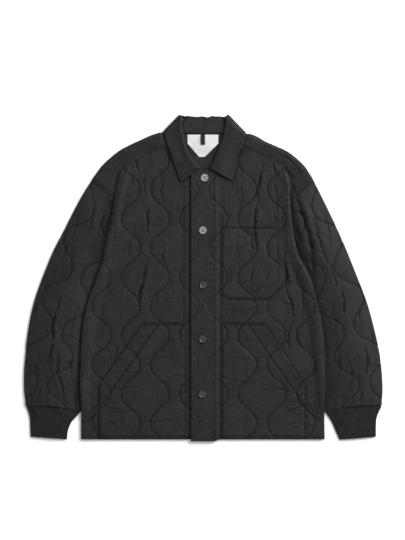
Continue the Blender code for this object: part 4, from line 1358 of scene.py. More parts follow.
@dataclass
class Front:
    """One front of the body, with its placket or underlay.

    Attributes:
        side: Which front.
        inner: x of its centre edge, outwards from the middle.
        step: Spacing of the grid.
        roll: How far the padded armhole edge stands up.
    """

    side: Side
    inner: float
    step: float = 2.8
    roll: float = 1.9

    def covers(self, x: Array, y: Array) -> Array:
        """0 under a layer that lies on the front, 1 away from it."""
        covers = [pocket_outline(self.side)]
        if self.side is Side.RIGHT:
            covers.append(CHEST_OUTLINE)
        free = ease((inside_gap(x, y, COLLAR_OUTLINE[self.side]) - 1.0) / 7.0)
        for outline in covers:
            free = free * ease((inside_gap(x, y, outline) - 0.5) / 3.5)
        if self.side is Side.LEFT:
            free = free * ease((PLACKET_EDGE - 1.0 - x) / 4.0)
        return free

    def edge_roll(self, x: Array, y: Array) -> Array:
        """The padded roll between the armhole stitching and the edge, lower below the underarm."""
        gap = edge_out(BODY_EDGE, self.side, y) - abs(x)
        size = self.roll * ease((y + 40.0) / 90.0) * ease((262.0 - y) / 40.0) + 0.2
        size = size * ease((y - HEM) / 60.0)
        lumps = 1.0 + 0.3 * noise(y, gap, 11.0, 30.0, 17)
        return size * lumps * ease(gap / 5.5) * (1.0 - 0.75 * ease((gap - 8.0) / 9.0))

    def heights(self, x: Array, y: Array) -> tuple[Array, Array, Array]:
        """Height of the middle of the wall, what its upper face stands out beyond it, and painted shade."""
        over_arm = armhole_lift(self.side, x, y) / ARMHOLE_LIFT
        drape, painted_shade = front_drape(self.side, x, y)
        moved, rest = split_drape(drape, 1.0 - 0.8 * over_arm)
        quilt = quilt_relief(x, y, 5)
        # The seams' troughs, with shade painted in them.
        seams, seam_shade = shape_of(FRONT_SEAMS[self.side], x, y)
        near_edge = ease((edge_out(BODY_EDGE, self.side, y) - abs(x)) / 9.0)
        extra = self.edge_roll(x, y)
        if self.side is Side.RIGHT:
            on_placket = ease((PLACKET_SLOPE_TO - x) / 12.0)
            crush = 0.35 * noise(x, y, 9.0, 5.0, 27) * ease((90.0 - y) / 160.0) - 0.1
            quilt = quilt * (1 - on_placket) + np.minimum(0.6 * quilt + crush, 0.25) * on_placket
            # Painted shade in each buttonhole's slit, and a painted shadow ring round each button.
            for button_x, button_y in BUTTONS:
                slit = np.hypot(np.maximum(abs(x - button_x - 15.0) - 6.5, 0.0), y - button_y)
                ring = bell(np.hypot(x - button_x, y - button_y) - 10.0, 1.5)
                painted_shade = np.maximum(painted_shade, np.maximum(bell(slit, 1.1), 0.8 * ring))
            extra = extra + 0.9 * bell(x - PLACKET_EDGE - 2.2, 2.4)
            above_pocket = ease((x - CHEST_LEFT) / 6.0) * ease((CHEST_RIGHT - x) / 6.0)
            over_top = ease((y - CHEST_TOP + 3.0) / 3.0) * (1.0 - ease((y - CHEST_TOP) / 60.0))
            extra = extra + 2.3 * above_pocket * over_top
        else:
            # A trough beside the edge of the placket that laps over this front, with a painted shadow in it.
            extra = extra - 1.2 * bell(x - PLACKET_EDGE + 2.0, 3.4)
            painted_shade = np.maximum(painted_shade, bell(x - PLACKET_EDGE + 1.0, 4.5))
        pockets, _ = path_distance(x, y, pocket_outline(self.side))
        top_edge = bell(y - POCKET_TOP - 1.0, 2.6) * ease((abs(POCKET[self.side].top) - abs(x)) / 5.0)
        wavy = 1.0 + 0.5 * noise(x, y, 6.0, 40.0, 19)
        clear_of_placket = ease((abs(x) - 40.0) / 4.0)
        # The cloth dips beside the pockets' edges and shade is painted there, heavier along their top edges.
        beside = bell(pockets, 2.4 + 1.2 * top_edge) * (0.85 * wavy + 0.3 * top_edge) * clear_of_placket
        beside = np.clip(beside, 0.0, 1.0)
        painted_shade = np.maximum(painted_shade, np.maximum(seam_shade, beside))
        outer = (quilt * (0.25 + 0.75 * near_edge) + seams + extra - 0.6 * beside) * self.covers(x, y) + rest
        return front_mid(self.side, x, y) + moved, np.maximum(outer, -1.9), painted_shade

    def top(self, path: Sequence[tuple[float, float]], spacing: float = 2.0) -> Array:
        """Points on the upper face along a path."""
        points = np.asarray(path, float)
        runs = np.linalg.norm(np.diff(points, axis=0), axis=1)
        places = np.concatenate([[0.0], np.cumsum(runs)])
        at = np.arange(0.0, places[-1], spacing)
        x, y = np.interp(at, places, points[:, 0]), np.interp(at, places, points[:, 1])
        middle, outer, _ = self.heights(x, y)
        return np.stack([x, y, middle + QUILT / 2 + outer], axis=1)

    def build(self) -> Panel:
        """Columns run from the centre edge to the side edge, and rows from the hem to the yoke seam."""
        share = graded(YOKE_END_Y - HEM, self.step)
        level = HEM + (YOKE_END_Y - HEM) * share
        end = edge_out(BODY_EDGE, self.side, level)[:, None]
        out = self.inner + (end - self.inner) * graded(270.0 - self.inner, self.step)[None, :]
        top = front_top_y(out[-1])
        hem = np.full_like(top, HEM)
        if self.side is Side.RIGHT:
            lap = ease((PLACKET_SLOPE_TO - out[0]) / (PLACKET_SLOPE_TO - PLACKET_FLAT_TO))
            hem = HEM + (PLACKET_HEM - HEM) * lap
        y = hem + (top - hem) * share[:, None]
        x = self.side.value * out
        middle, outer, painted_shade = self.heights(x, y)
        grid = stack(x, y, middle)
        if self.side is Side.LEFT:
            grid, outer, painted_shade = grid[:, ::-1], outer[:, ::-1], painted_shade[:, ::-1]
        inner = -0.5 * bell(wave_gap(grid[..., 0], grid[..., 1]), 1.9)
        shell = Shell(f"front_panel_{self.side.tag}", grid, QUILT, flat_pattern(grid), outer, inner, painted_shade)
        # On the placket the quilting's painted shade is faint.
        if self.side is Side.RIGHT:
            shell.faint = ease((PLACKET_SLOPE_TO - grid[..., 0]) / 12.0)
        obj = shell.build()
        finish_piece(obj, QUILTED, "quilted_cloth", f"front_{self.side.tag}")
        return Panel(shell, obj)


@dataclass
class Back:
    """The back of the body, which lies on the surface.

    Attributes:
        step: Spacing of the grid.
        fold_gain: Share of the table's depth that the folds of the underside have.
    """

    step: float = 3.7
    fold_gain: float = 0.8

    def edge(self, side: Side, level: Array) -> Array:
        """How far out the back reaches: to the yoke and sleeve above the underarm, over the sleeve below."""
        rows = sorted((row.y, row.under) for row in YOKE_TUCKED)
        under = np.interp(level, [row[0] for row in rows], [row[1] for row in rows])
        over_sleeve = ease((level + 30.0) / (UNDERARM + 30.0))
        return edge_out(BODY_EDGE, side, level) - (under + LAYER) * over_sleeve

    def half(self, side: Side) -> Array:
        """Grid of the middle of the wall from the centre line out."""
        share = graded(YOKE_END_Y - HEM_BACK, self.step)
        level = HEM_BACK + (YOKE_END_Y - HEM_BACK) * share
        across = graded(280.0, self.step)
        across = np.concatenate([[0.0], across[4:]])
        out = self.edge(side, level)[:, None] * across[None, :]
        at = [0.0] + [row.back_out for row in YOKE]
        heights = [BACK_NECK_Y - 2] + [row.back_y - 2 * SEAM for row in YOKE]
        top = np.interp(out[-1], at, heights)
        y = HEM_BACK + (top - HEM_BACK) * share[:, None]
        x = side.value * out
        return stack(x, y, BACK_MID + neck_lift(x, y) + side_lift(side, x, y))

    def build(self) -> Panel:
        """Quilted on both faces; underneath it is pressed flat, so only lines and folds draw in."""
        grid = np.concatenate([self.half(Side.LEFT)[:, :0:-1], self.half(Side.RIGHT)], axis=1)
        x, y = grid[..., 0], grid[..., 1]
        gap = wave_gap(x, y)
        seam = bell(y - HEM_BACK - 6.4, 1.6)
        folds, _ = shape_of(BACK_CREASES, x, y)
        inner = -0.9 * bell(gap, 2.6) - 0.5 * seam - 0.12 * (1 + noise(x, y, 21.0, 34.0, 71))
        inner = np.clip(inner + self.fold_gain * np.minimum(folds, 0.0), UNDER_DEEPEST, 0.0)
        outer = np.minimum(0.35 * quilt_relief(x, y, 8), 0.5)
        shell = Shell("back_panel", grid, QUILT, flat_pattern(grid), outer, inner)
        obj = shell.build()
        finish_piece(obj, QUILTED, "quilted_cloth", "back")
        return Panel(shell, obj)


@dataclass
class LowerPocket:
    """A big quilted patch pocket with a slanted opening at its outer upper corner.

    Attributes:
        side: Which pocket.
        step: Spacing of the grid.
        gape: How much the opening's edge stands up.
    """

    side: Side
    step: float = 2.4
    gape: float = 1.3

    def heights(self, x: Array, y: Array) -> tuple[Array, Array, Array]:
        """Height of the middle of the wall, what its upper face stands out beyond it, and painted shade."""
        form = POCKET[self.side]
        drape, painted_shade = front_drape(self.side, x, y)
        moved, rest = split_drape(drape, 1.0)
        slant, _ = path_distance(x, y, ((form.top, POCKET_TOP), (form.outer, form.slant_end)))
        outline, _ = path_distance(x, y, pocket_outline(self.side)[2:] + pocket_outline(self.side)[:3])
        moved = moved + self.gape * bell(slant, 10.0) * ease(outline / 1.0 + 1.0)
        seams, seam_shade = shape_of(POCKET_SEAMS[self.side], x, y)
        quilt = quilt_relief(x, y, 5) * (0.35 + 0.65 * ease(outline / 9.0))
        sewn = -0.8 * bell(outline, 2.5) * (1.0 - bell(slant, 12.0))
        painted_shade = np.maximum(painted_shade, seam_shade)
        return POCKET_MID + moved, np.maximum(quilt + seams + sewn + rest, -1.9), painted_shade

    def top(self, path: Sequence[tuple[float, float]], spacing: float = 2.0) -> Array:
        """Points on the upper face along a straight path."""
        (ax, ay), (bx, by) = path
        t = np.arange(0.0, 1.0, spacing / math.hypot(bx - ax, by - ay))
        x, y = ax + (bx - ax) * t, ay + (by - ay) * t
        middle, outer, _ = self.heights(x, y)
        return np.stack([x, y, middle + QUILT / 2 + outer], axis=1)

    def build(self) -> Panel:
        """Rows run up from the hem; above the end of the slant each row stops at the slanted edge."""
        form = POCKET[self.side]
        share = graded(POCKET_TOP - POCKET_HEM, self.step)
        y = (POCKET_HEM + (POCKET_TOP - POCKET_HEM) * share)[:, None]
        up_slant = np.clip((y - form.slant_end) / (POCKET_TOP - form.slant_end), 0.0, 1.0)
        end = form.outer + (form.top - form.outer) * up_slant
        across = graded(abs(form.outer - form.inner), self.step)[None, :]
        x = form.inner + (end - form.inner) * across
        y = np.broadcast_to(y, x.shape)
        middle, outer, painted_shade = self.heights(x, y)
        grid = stack(x, y, middle)
        if self.side is Side.LEFT:
            grid, outer, painted_shade = grid[:, ::-1], outer[:, ::-1], painted_shade[:, ::-1]
        name = f"pocket_panel_{self.side.tag}"
        shell = Shell(name, grid, QUILT, flat_pattern(grid), outer, painted_shade=painted_shade)
        obj = shell.build()
        finish_piece(obj, QUILTED, "quilted_cloth", f"pocket_{self.side.tag}")
        return Panel(shell, obj)


@dataclass
class ChestPocket:
    """The quilted chest pocket with rounded lower corners.

    Attributes:
        step: Spacing of the grid.
    """

    step: float = 2.2

    def heights(self, x: Array, y: Array) -> tuple[Array, Array, Array]:
        """Height of the middle of the wall, what its upper face stands out beyond it, and painted shade."""
        drape, painted_shade = front_drape(Side.RIGHT, x, y)
        moved, rest = split_drape(drape, 1.0)
        edge = -inside_gap(x, y, CHEST_OUTLINE)
        below_top = ease((CHEST_TOP - 8.0 - y) / 6.0)
        seam = bell(edge - 3.0, 1.4) * below_top
        top = -0.8 * (1.0 - ease((CHEST_TOP - y) / 40.0))
        sewn = -1.0 * bell(edge, 3.0) * below_top
        pucker = 0.45 * noise(x, y, 4.5, 4.5, 91) * bell(edge - 7.0, 6.0) * below_top
        quilt = quilt_relief(x, y, 5) * (0.35 + 0.65 * ease(edge / 9.0))
        outer = np.maximum(quilt - 0.6 * seam + top + sewn + pucker + rest, -1.9)
        # Shade is painted along the pocket's seam line.
        return POCKET_MID + moved, outer, np.maximum(painted_shade, 0.7 * seam)

    def build(self) -> Panel:
        """Rows run up from the lower edge, drawn in at the rounded corners."""
        share = graded(CHEST_TOP - CHEST_BOTTOM, self.step)
        y = (CHEST_BOTTOM + (CHEST_TOP - CHEST_BOTTOM) * share)[:, None]
        fall = np.clip(1.0 - (y - CHEST_BOTTOM) / CHEST_CORNER, 0.0, 1.0)
        inset = CHEST_CORNER * (1 - np.sqrt(1 - fall**2))
        across = graded(CHEST_RIGHT - CHEST_LEFT, self.step)[None, :]
        x = CHEST_LEFT + inset + (CHEST_RIGHT - CHEST_LEFT - 2 * inset) * across
        y = np.broadcast_to(y, x.shape)
        middle, outer, painted_shade = self.heights(x, y)
        grid = stack(x, y, middle)
        shell = Shell("chest_pocket_panel", grid, QUILT, flat_pattern(grid), outer, painted_shade=painted_shade)
        obj = shell.build()
        finish_piece(obj, QUILTED, "quilted_cloth", "chest_pocket")
        return Panel(shell, obj)


YOKE_CREASES = {
    Side.LEFT: (
        Crease(((-180, 296), (-204, 284), (-226, 262)), 1.1, 2.8),
        Crease(((-196, 264), (-206, 250), (-212, 232)), 1.6, 3.0),
        Crease(((-204, 270), (-216, 256), (-224, 238)), 1.3, 2.6),
        Crease(((-214, 274), (-228, 258), (-238, 244)), 0.9, 2.4),
        Crease(((-206, 240), (-214, 222), (-222, 204)), 1.5, 3.2),
        Crease(((-190, 280), (-198, 272), (-204, 262)), 0.8, 2.4),
    ),
    Side.RIGHT: (
        Crease(((182, 295), (205, 284), (222, 266), (233, 252)), 1.5, 2.6),
        Crease(((198, 264), (208, 250), (217, 235)), 1.8, 3.0),
        Crease(((210, 226), (216, 212), (222, 199)), 2.6, 4.4),
        Crease(((206, 228), (214, 220), (228, 216)), 1.6, 3.0),
        Crease(((206, 270), (218, 258), (226, 246)), 0.9, 2.4),
        Crease(((212, 204), (226, 206), (238, 214)), 1.2, 2.6),
    ),
}


@dataclass
class Yoke:
    """A plain shoulder piece that folds over the shoulder, gathered at the sleeve seam.

    Attributes:
        side: Which shoulder.
        step: Spacing of the grid.
        fullness: How much the cloth bellies between its seams.
    """

    side: Side
    step: float = 2.0
    fullness: float = 1.8

    def line(self, front: Point, fold: Point, back: Point, mid: float) -> list:
        """Points up the front, round the fold and down the back, each end given as (out, y)."""
        upper, lower = FRONT_MID + 0.2, PLAIN / 2
        radius = (upper - lower) / 2
        start, turn, end = np.array(front, float), np.array(fold, float), np.array(back, float)
        toward = (turn - start) / np.linalg.norm(turn - start)
        axis = turn - toward * (radius + PLAIN / 2)
        points = [
            (*(start + (axis - start) * s), mid + (upper - mid) * float(ease(s)))
            for s in (0, 0.33, 0.66)
        ]
        for angle in np.radians([90, 45, 0, -45, -90]):
            turned = axis + toward * radius * math.cos(angle)
            points.append((*turned, lower + radius * (1 + math.sin(angle))))
        points += [(*(axis + (end - axis) * s), lower) for s in (0.4, 0.75, 1.0)]
        return points

    def coarse(self) -> Array:
        """The lines across the shoulder, from the neck to the sleeve seam."""
        lines = []
        for row in YOKE:
            ends = ((row.front_out, row.front_y - 1.6), row.fold(self.side), (row.back_out, row.back_y))
            lines.append(self.line(*ends, FRONT_MID - 0.3))
        for row in YOKE_TUCKED:
            hidden = (float(edge_out(BODY_EDGE, self.side, row.y)) - row.under, row.y)
            lines.append(self.line(hidden, row.fold(self.side), hidden, row.front_mid))
        grid = np.array(lines)
        grid[..., 2] += neck_lift(grid[..., 0], grid[..., 1])
        grid[..., 0] *= self.side.value
        return grid

    def build(self) -> Panel:
        """Listed folds, gathers by the sleeve seam and puckers by the front seam; seams dip at the edges."""
        grid = refine(refine(self.coarse(), 0, self.step), 1, self.step)
        pattern = arc_pattern(grid)
        x, y, z = grid[..., 0], grid[..., 1], grid[..., 2]
        out = abs(x)
        above = ease((z - 2.6) / 1.5)
        length = pattern[-1, 0, 1]
        to_seam = length - pattern[..., 1]
        from_front = pattern[..., 0]
        folds, painted_shade = shape_of(YOKE_CREASES[self.side], x, y)
        gathers = noise(from_front, pattern[..., 1], 5.5, 40.0, 23) * bell(to_seam, 20.0)
        slack = noise(pattern[..., 1], from_front, 34.0, 26.0, 29) * 0.5 + noise(x, y, 9.0, 30.0, 37) * 0.2
        pucker = noise(pattern[..., 1], from_front, 6.0, 9.0, 31) * bell(from_front - 8.0, 7.0)
        collar = ease((inside_gap(x, y, COLLAR_OUTLINE[self.side]) - 1.0) / 9.0)
        lap = ease((out - edge_out(BODY_EDGE, self.side, np.minimum(y, 267.0)) + 1.0) / 9.0)
        lap = np.where(y < 266.0, lap, 1.0)
        seam = 0.9 * bell(to_seam, 2.0) + 0.9 * bell(from_front, 2.2) + 0.5 * bell(to_seam - 9.0, 1.4)
        belly = self.fullness * ease(from_front / 16.0) * ease(to_seam / 16.0)
        total = (belly + folds + 0.4 * gathers + 0.4 * pucker + slack) * collar * lap - seam * 0.7
        # Painted shade in the folds and along the seams, and a painted shadow on the yoke by the front's edge
        # that lies over it.
        painted_shade = np.maximum(painted_shade, np.maximum(0.7 * bell(to_seam, 1.8), 0.4 * bell(from_front, 1.4)))
        painted_shade = np.maximum(painted_shade, 0.5 * bell(to_seam - 9.0, 1.3))
        painted_shade = np.maximum(painted_shade, np.where(y < 262.0, bell(lap * 14.0, 8.0), 0.0)) * above
        outer = np.maximum(total * above, -0.7)
        moved = np.maximum(outer, 0.0)
        name = f"yoke_panel_{self.side.tag}"
        shell = settle(Shell(name, grid, PLAIN, pattern, outer, -moved, painted_shade, rim=0.7))
        obj = shell.build()
        finish_piece(obj, PLAINCLOTH, "plain_cloth", f"yoke_{self.side.tag}")
        return Panel(shell, obj)


def settle(shell: Shell) -> Shell:
    """Turn a shell whose outer face looks down at the top: the grid's columns run the other way."""
    top = np.unravel_index(np.argmax(shell.middle[..., 2]), shell.middle.shape[:2])
    if shell.normals()[top][2] < 0:
        for part in ("middle", "pattern", "outer", "inner", "painted_shade"):
            setattr(shell, part, getattr(shell, part)[:, ::-1])
    return shell


# ------------------------------------------------------------------ sleeves and cuffs


# How far the quilting is turned round the sleeve at the cuff, below the elbow, above it and at the top
QUILT_SHIFT = {Side.LEFT: (30.0, 3.0, 0.0, 17.0), Side.RIGHT: (30.0, 12.0, 15.0, 24.0)}


@dataclass
class Tube:
    """A flattened tube between an inner and an outer edge, ring by ring.

    Attributes:
        inner: Inner edge of each ring, n by 2.
        outer: Outer edge of each ring, n by 2.
        fold: Radius of the middle of the wall round each edge.
        wall: Thickness of the cloth.
        puff: How much the top stands up in each ring.
        flat: Width that stays low by the inner edge.
        bow: How much each ring bows along the tube.
        step: Spacing of the columns.
    """

    inner: Array
    outer: Array
    fold: float
    wall: float
    puff: Array
    flat: float
    bow: Array
    step: float = 2.8

    def grid(self) -> tuple[Array, Array, Array]:
        """Points of the middle of the wall, arc from the outer fold (minus underneath), and 1 on top."""
        vector = self.outer - self.inner
        width = np.linalg.norm(vector, axis=1)[:, None]
        along = vector / width
        low, high = self.wall / 2, self.wall / 2 + 2 * self.fold
        inset = self.wall / 2 + self.fold
        span = width - 2 * inset
        share = graded(float(width.mean()) - 2 * inset, self.step)[None, :]
        start = max(self.flat, inset)
        distance = inset + span * share
        s = (distance - start) / (width - inset - start)
        hump = smooth(s, (0.0, 0.17, 0.4, 0.63, 0.83, 1.0), (0.0, 0.6, 1.0, 0.95, 0.55, 0.0))
        top = high + self.puff[:, None] * np.where(s > 0, hump, 0.0)
        turn = np.radians(np.linspace(90, -90, 7))[None, 1:-1]
        ones = np.ones_like(width)
        distances = [distance, width - inset + self.fold * np.cos(turn), distance[:, ::-1]]
        heights = [top, (low + self.fold * (1 + np.sin(turn))) * ones, np.full_like(distance, low)]
        distances.append(inset - self.fold * np.cos(turn[:, ::-1]) * ones)
        heights.append((low + self.fold * (1 + np.sin(turn[:, ::-1]))) * ones)
        half_turn = math.pi * self.fold
        arcs = [width - inset - distance + half_turn / 2, (np.pi / 2 - turn - np.pi / 2) * -self.fold * ones]
        arcs.append(-(width - inset - distance[:, ::-1]) - half_turn / 2)
        arcs.append(-(span + half_turn / 2 + (np.pi / 2 + turn[:, ::-1]) * self.fold))
        kinds = [np.ones_like(distance), np.clip(np.sin(turn), 0, 1) * ones, np.zeros_like(distance)]
        kinds.append(np.clip(np.sin(turn[:, ::-1]), 0, 1) * ones)
        d, z, arc, on_top = (np.concatenate(part, axis=1) for part in (distances, heights, arcs, kinds))
        x = self.inner[:, :1] + along[:, :1] * d
        arch = np.sin(np.pi * np.clip(d / width, 0, 1))
        y = self.inner[:, 1:] + along[:, 1:] * d + self.bow[:, None] * arch
        ring = np.stack([x, y, z], axis=-1)
        close = [np.concatenate([part, part[:, :1]], axis=1) for part in (ring, arc, on_top)]
        return close[0], close[1], close[2]


@dataclass
class Sleeve:
    """A quilted sleeve, tucked under the body's edge along its inner side.

    Attributes:
        side: Which sleeve.
        puff: How full it stands.
        rows: Spacing of the rings.
        fold_gain: Share of the table's depth that the folds on top have.
        under_gain: The same for those underneath.
        streak_gain: Depth of the fine streaks down the sleeve.
        gather_gain: Depth of the gathers above the cuff.
    """

    side: Side
    puff: float = 8.5
    rows: float = 3.1
    fold_gain: float = 1.3
    under_gain: float = 0.6
    streak_gain: float = 0.5
    gather_gain: float = 0.9

    def build(self) -> Panel:
        """Rings run from the cuff seam up. Quilting follows the sleeve's axis; long folds run down it."""
        count = int(round((SLEEVE_TOP_INNER - CUFF_SEAM_INNER) / self.rows))
        down = 1.0 - graded(float(count) * self.rows, self.rows)
        top_y = SLEEVE_TOP_INNER + 0.8
        inner_y = top_y + (CUFF_SEAM_INNER - 0.8 - top_y) * down
        down = (SLEEVE_TOP_INNER - inner_y) / (SLEEVE_TOP_INNER - CUFF_SEAM_INNER)
        outer_y = SLEEVE_TOP_OUTER + (CUFF_SEAM_OUTER - SLEEVE_TOP_OUTER) * down
        inner_out = edge_out(BODY_EDGE, self.side, inner_y) - tuck(inner_y)
        inner_out = inner_out + LAYER * ease((-282 - inner_y) / 6.0)
        outer_out = edge_out(SLEEVE_EDGE, self.side, outer_y)
        inner = np.stack([inner_out, inner_y], axis=1)
        outer = np.stack([outer_out, outer_y], axis=1)
        fullness = ease((1.0 - down) / 0.16) * 0.45 + 0.55
        fullness = fullness * (0.3 + 0.7 * ease(down / 0.14))
        flat = SLEEVE_TUCK + 2.5
        bow = 6.0 * ease((down - 0.75) / 0.25)
        tube = Tube(inner, outer, SLEEVE_FOLD, QUILT, self.puff * fullness, flat, bow)
        grid, arc, on_top = tube.grid()
        grid[..., 0] *= self.side.value
        at = (-391.0, -251.0, -109.0, 34.0, 173.0, 313.0)
        along = np.interp(outer_y, at, (-279.0, -139.0, 1.0, 141.0, 281.0, 421.0))
        shift = np.interp(along, (-139.0, 1.0, 141.0, 281.0), QUILT_SHIFT[self.side])[:, None]
        pattern = np.stack(np.broadcast_arrays(arc - 3.0 + shift, along[:, None]), axis=-1)
        x, y = grid[..., 0], grid[..., 1]
        seed = 61 if self.side is Side.LEFT else 83
        folds, painted_shade = shape_of(SLEEVE_CREASES[self.side], x, y)
        streaks = noise(arc, along[:, None], 15.0, 70.0, seed) * 0.7
        streaks = streaks + noise(arc, along[:, None], 7.0, 26.0, seed + 1) * 0.3
        from_cuff = (inner_y - CUFF_SEAM_INNER)[:, None]
        gathers = noise(arc, along[:, None], 5.5, 60.0, seed + 2) * bell(from_cuff, 26.0)
        width = (tube.outer - tube.inner)
        reach = np.linalg.norm(width, axis=1)[:, None] - arc
        clear = ease((reach - flat) / 9.0) * ease((arc + 1.0) / 5.0)
        out = x * self.side.value
        from_edge = np.minimum(out - inner_out[:, None], outer_out[:, None] - out)
        upper = on_top > 0.5
        clear_under = np.where(upper, 0.0, ease((from_edge - 4.0) / 9.0))
        clear = np.where(upper, clear, 0.0)
        moved_x, moved_y = x + UNDER_SHIFT[0], y + UNDER_SHIFT[1]
        folds_under, painted_shade_under = shape_of(SLEEVE_CREASES[self.side], moved_x, moved_y)
        from_top = (SLEEVE_TOP_INNER - inner_y)[:, None]
        seam = 0.8 * bell(from_top, 2.2) + 0.3 * bell(from_cuff, 1.2) - 0.8 * bell(from_cuff - 3.5, 2.4)
        ends = ease(from_top / 6.0) * ease(from_cuff / 6.0)
        total = self.fold_gain * folds + self.streak_gain * streaks * ends
        total = (total + self.gather_gain * gathers) * clear
        # Painted shadow of the body's edge on the sleeve beside it, broader high up and broadest on the left.
        high = ease((inner_y + 40.0) / 110.0)[:, None]
        wide = 20.0 if self.side is Side.LEFT else 7.0
        painted_body_shadow = bell(np.maximum(reach - SLEEVE_TUCK, 0.0), 6.0 + wide * high)
        shade_paint = 0.5 + 0.45 * high
        painted_shade = np.maximum(painted_shade, painted_body_shadow * shade_paint) * upper
        # Painted shade near the seams at both ends.
        at_ends = 0.8 * bell(from_top, 2.0) + 0.4 * bell(from_cuff - 8.0, 2.0)
        painted_shade = np.maximum(painted_shade, at_ends * upper)
        floor = np.maximum(grid[..., 2] - (1.5 * QUILT) - 0.15, 0.0) * clear
        moved, rest = split_drape(total, floor)
        grid[..., 2] += moved
        quilt = quilt_relief(pattern[..., 0], pattern[..., 1], seed + 3)
        under = -0.7 * bell(wave_gap(pattern[..., 0], pattern[..., 1]), 2.6)
        drawn_in = self.under_gain * np.minimum(folds_under, 0.0) * clear_under
        under = np.maximum(under + drawn_in, UNDER_DEEPEST)
        # Painted shade in the folds underneath.
        painted_shade = np.maximum(painted_shade, 0.5 * painted_shade_under * clear_under)
        outer_relief = np.where(upper, quilt * clear, under) - seam * np.maximum(on_top, 0.3) + rest
        outer_relief = np.maximum(outer_relief, -1.9)
        if self.side is Side.LEFT:
            grid, outer_relief, pattern = grid[:, ::-1], outer_relief[:, ::-1], pattern[:, ::-1]
            painted_shade = painted_shade[:, ::-1]
        name = f"sleeve_shell_{self.side.tag}"
        shell = Shell(name, grid, QUILT, pattern, outer_relief, -0.3, painted_shade, tube=True, rim=0.9)
        obj = shell.build()
        finish_piece(obj, QUILTED, "quilted_cloth", f"sleeve_{self.side.tag}")
        return Panel(shell, obj)


class CuffRow(NamedTuple):
    """One line across the cuff, from its inner edge to its outer edge."""

    inner_out: float
    inner_y: float
    outer_out: float
    outer_y: float


CUFF = {
    Side.LEFT: (
        CuffRow(294, -321, 426, -306),
        CuffRow(306, -334, 419, -324),
        CuffRow(317, -347, 416, -338),
        CuffRow(325, -368, 415, -360),
        CuffRow(327, -387, 414, -381),
    ),
    Side.RIGHT: (
        CuffRow(291, -321, 428, -309),
        CuffRow(302, -335, 419, -326),
        CuffRow(311, -351, 415, -340),
        CuffRow(318, -368, 414, -361),
        CuffRow(327, -388, 414, -381),
    ),
}


@dataclass
class Cuff:
    """A rib-knitted cuff: fine ribs run down it, drawn in from the width of the sleeve.

    Attributes:
        side: Which cuff.
        ribs: Ribs all the way round.
        relief: How far a rib stands up.
    """

    side: Side
    ribs: int = 64
    relief: float = 0.2

    def build(self) -> Panel:
        """Rings run from the free edge up to the seam."""
        rows = np.array(CUFF[self.side], float)
        rows[0, [1, 3]] += 1.4
        rows = rows[::-1]
        at = np.linspace(0, 1, len(rows))
        fine = np.unique(np.concatenate([[0, 0.006, 0.014, 0.025], np.linspace(0.04, 1, 34)]))
        values = np.stack([smooth(fine, at, rows[:, k]) for k in range(4)], axis=1)
        bow = 6.0 * fine
        fullness = 2.4 + 1.4 * ease((fine - 0.4) / 0.4) * (1 - ease((fine - 0.85) / 0.15) * 0.6)
        tube = Tube(values[:, :2], values[:, 2:], RIB / 2 + 0.3, RIB, fullness, 0.0, bow, step=0.55)
        grid, arc, on_top = tube.grid()
        grid[..., 0] *= self.side.value
        whole = (arc.max(axis=1) - arc.min(axis=1))[:, None]
        phase = 2 * math.pi * self.ribs * arc / whole
        length = np.broadcast_to((fine * 66.0)[:, None], arc.shape)
        wobble = 0.5 * noise(arc, length, 14.0, 22.0, 7)
        ribs = self.relief * (np.cos(phase + wobble) - 0.4)
        purls = 0.1 * np.cos(2 * math.pi * length / 1.9)
        squeeze = 0.5 * noise(arc, length, 16.0, 30.0, 19) * on_top
        folds = 1.3 * noise(arc, length, 9.0, 40.0, 57) * bell(length - 58.0, 14.0) * on_top
        relief = np.where(on_top > 0.5, ribs + purls + squeeze + folds, 0.6 * np.minimum(ribs, 0.0))
        relief = np.maximum(relief, -1.1) - 0.5 * bell(length - 66.0, 1.5)
        pattern = np.stack([arc, length], axis=-1)
        if self.side is Side.LEFT:
            grid, relief, pattern = grid[:, ::-1], relief[:, ::-1], pattern[:, ::-1]
        shell = Shell(f"cuff_rib_{self.side.tag}", grid, RIB, pattern, relief, -0.2, tube=True, rim=1.1)
        obj = shell.build()
        finish_piece(obj, RIB_KNIT, "rib_knit", f"cuff_{self.side.tag}")
        return Panel(shell, obj)


# ------------------------------------------------------------------ collar


class CollarRow(NamedTuple):
    """One line across the collar: from the neck seam up to the roll line and down to the free edge."""

    neck_x: float
    neck_y: float
    roll_x: float
    roll_y: float
    free_x: float
    free_y: float
    neck_mid: float
    roll_mid: float
    free_mid: float


COLLAR_LEAF = {
    Side.LEFT: (
        CollarRow(-24, 257, -7, 264, -55, 229, 10.8, 13.6, 8.6),
        CollarRow(-43, 271, -24, 283, -63, 254, 9.0, 13.4, 9.0),
        CollarRow(-63, 292, -39, 308, -73, 282, 8.6, 13.2, 10.0),
        CollarRow(-74, 314, -46, 338, -83, 312, 10.2, 13.2, 12.2),
        CollarRow(-79, 334, -51, 365, -91, 334, 10.4, 13.2, 12.8),
    ),
    Side.RIGHT: (
        CollarRow(28, 256, 16, 262, 69, 232, 10.8, 13.6, 8.6),
        CollarRow(45, 271, 27, 286, 75, 256, 9.0, 13.4, 9.0),
        CollarRow(63, 292, 37, 311, 82, 285, 8.6, 13.2, 10.0),
        CollarRow(74, 314, 47, 338, 91, 315, 10.2, 13.2, 12.2),
        CollarRow(79, 334, 52, 364, 97, 335, 10.4, 13.2, 12.8),
    ),
}
COLLAR_FOLD = {
    Side.LEFT: CollarRow(-84, 351, -56.5, COLLAR_TOP, -97.5, 350, 9.6, 11.6, 12.4),
    Side.RIGHT: CollarRow(86, 350, 59, COLLAR_TOP, 102.5, 348, 9.6, 11.6, 12.4),
}
COLLAR_BACK = (
    CollarRow(-50, 347, -33, 388, -58, 336, 7.2, FALL / 2, FALL / 2),
    CollarRow(0, 345, 1, 386, 0, 328, 7.2, FALL / 2, FALL / 2),
    CollarRow(50, 347, 35, 388, 60, 336, 7.2, FALL / 2, FALL / 2),
)


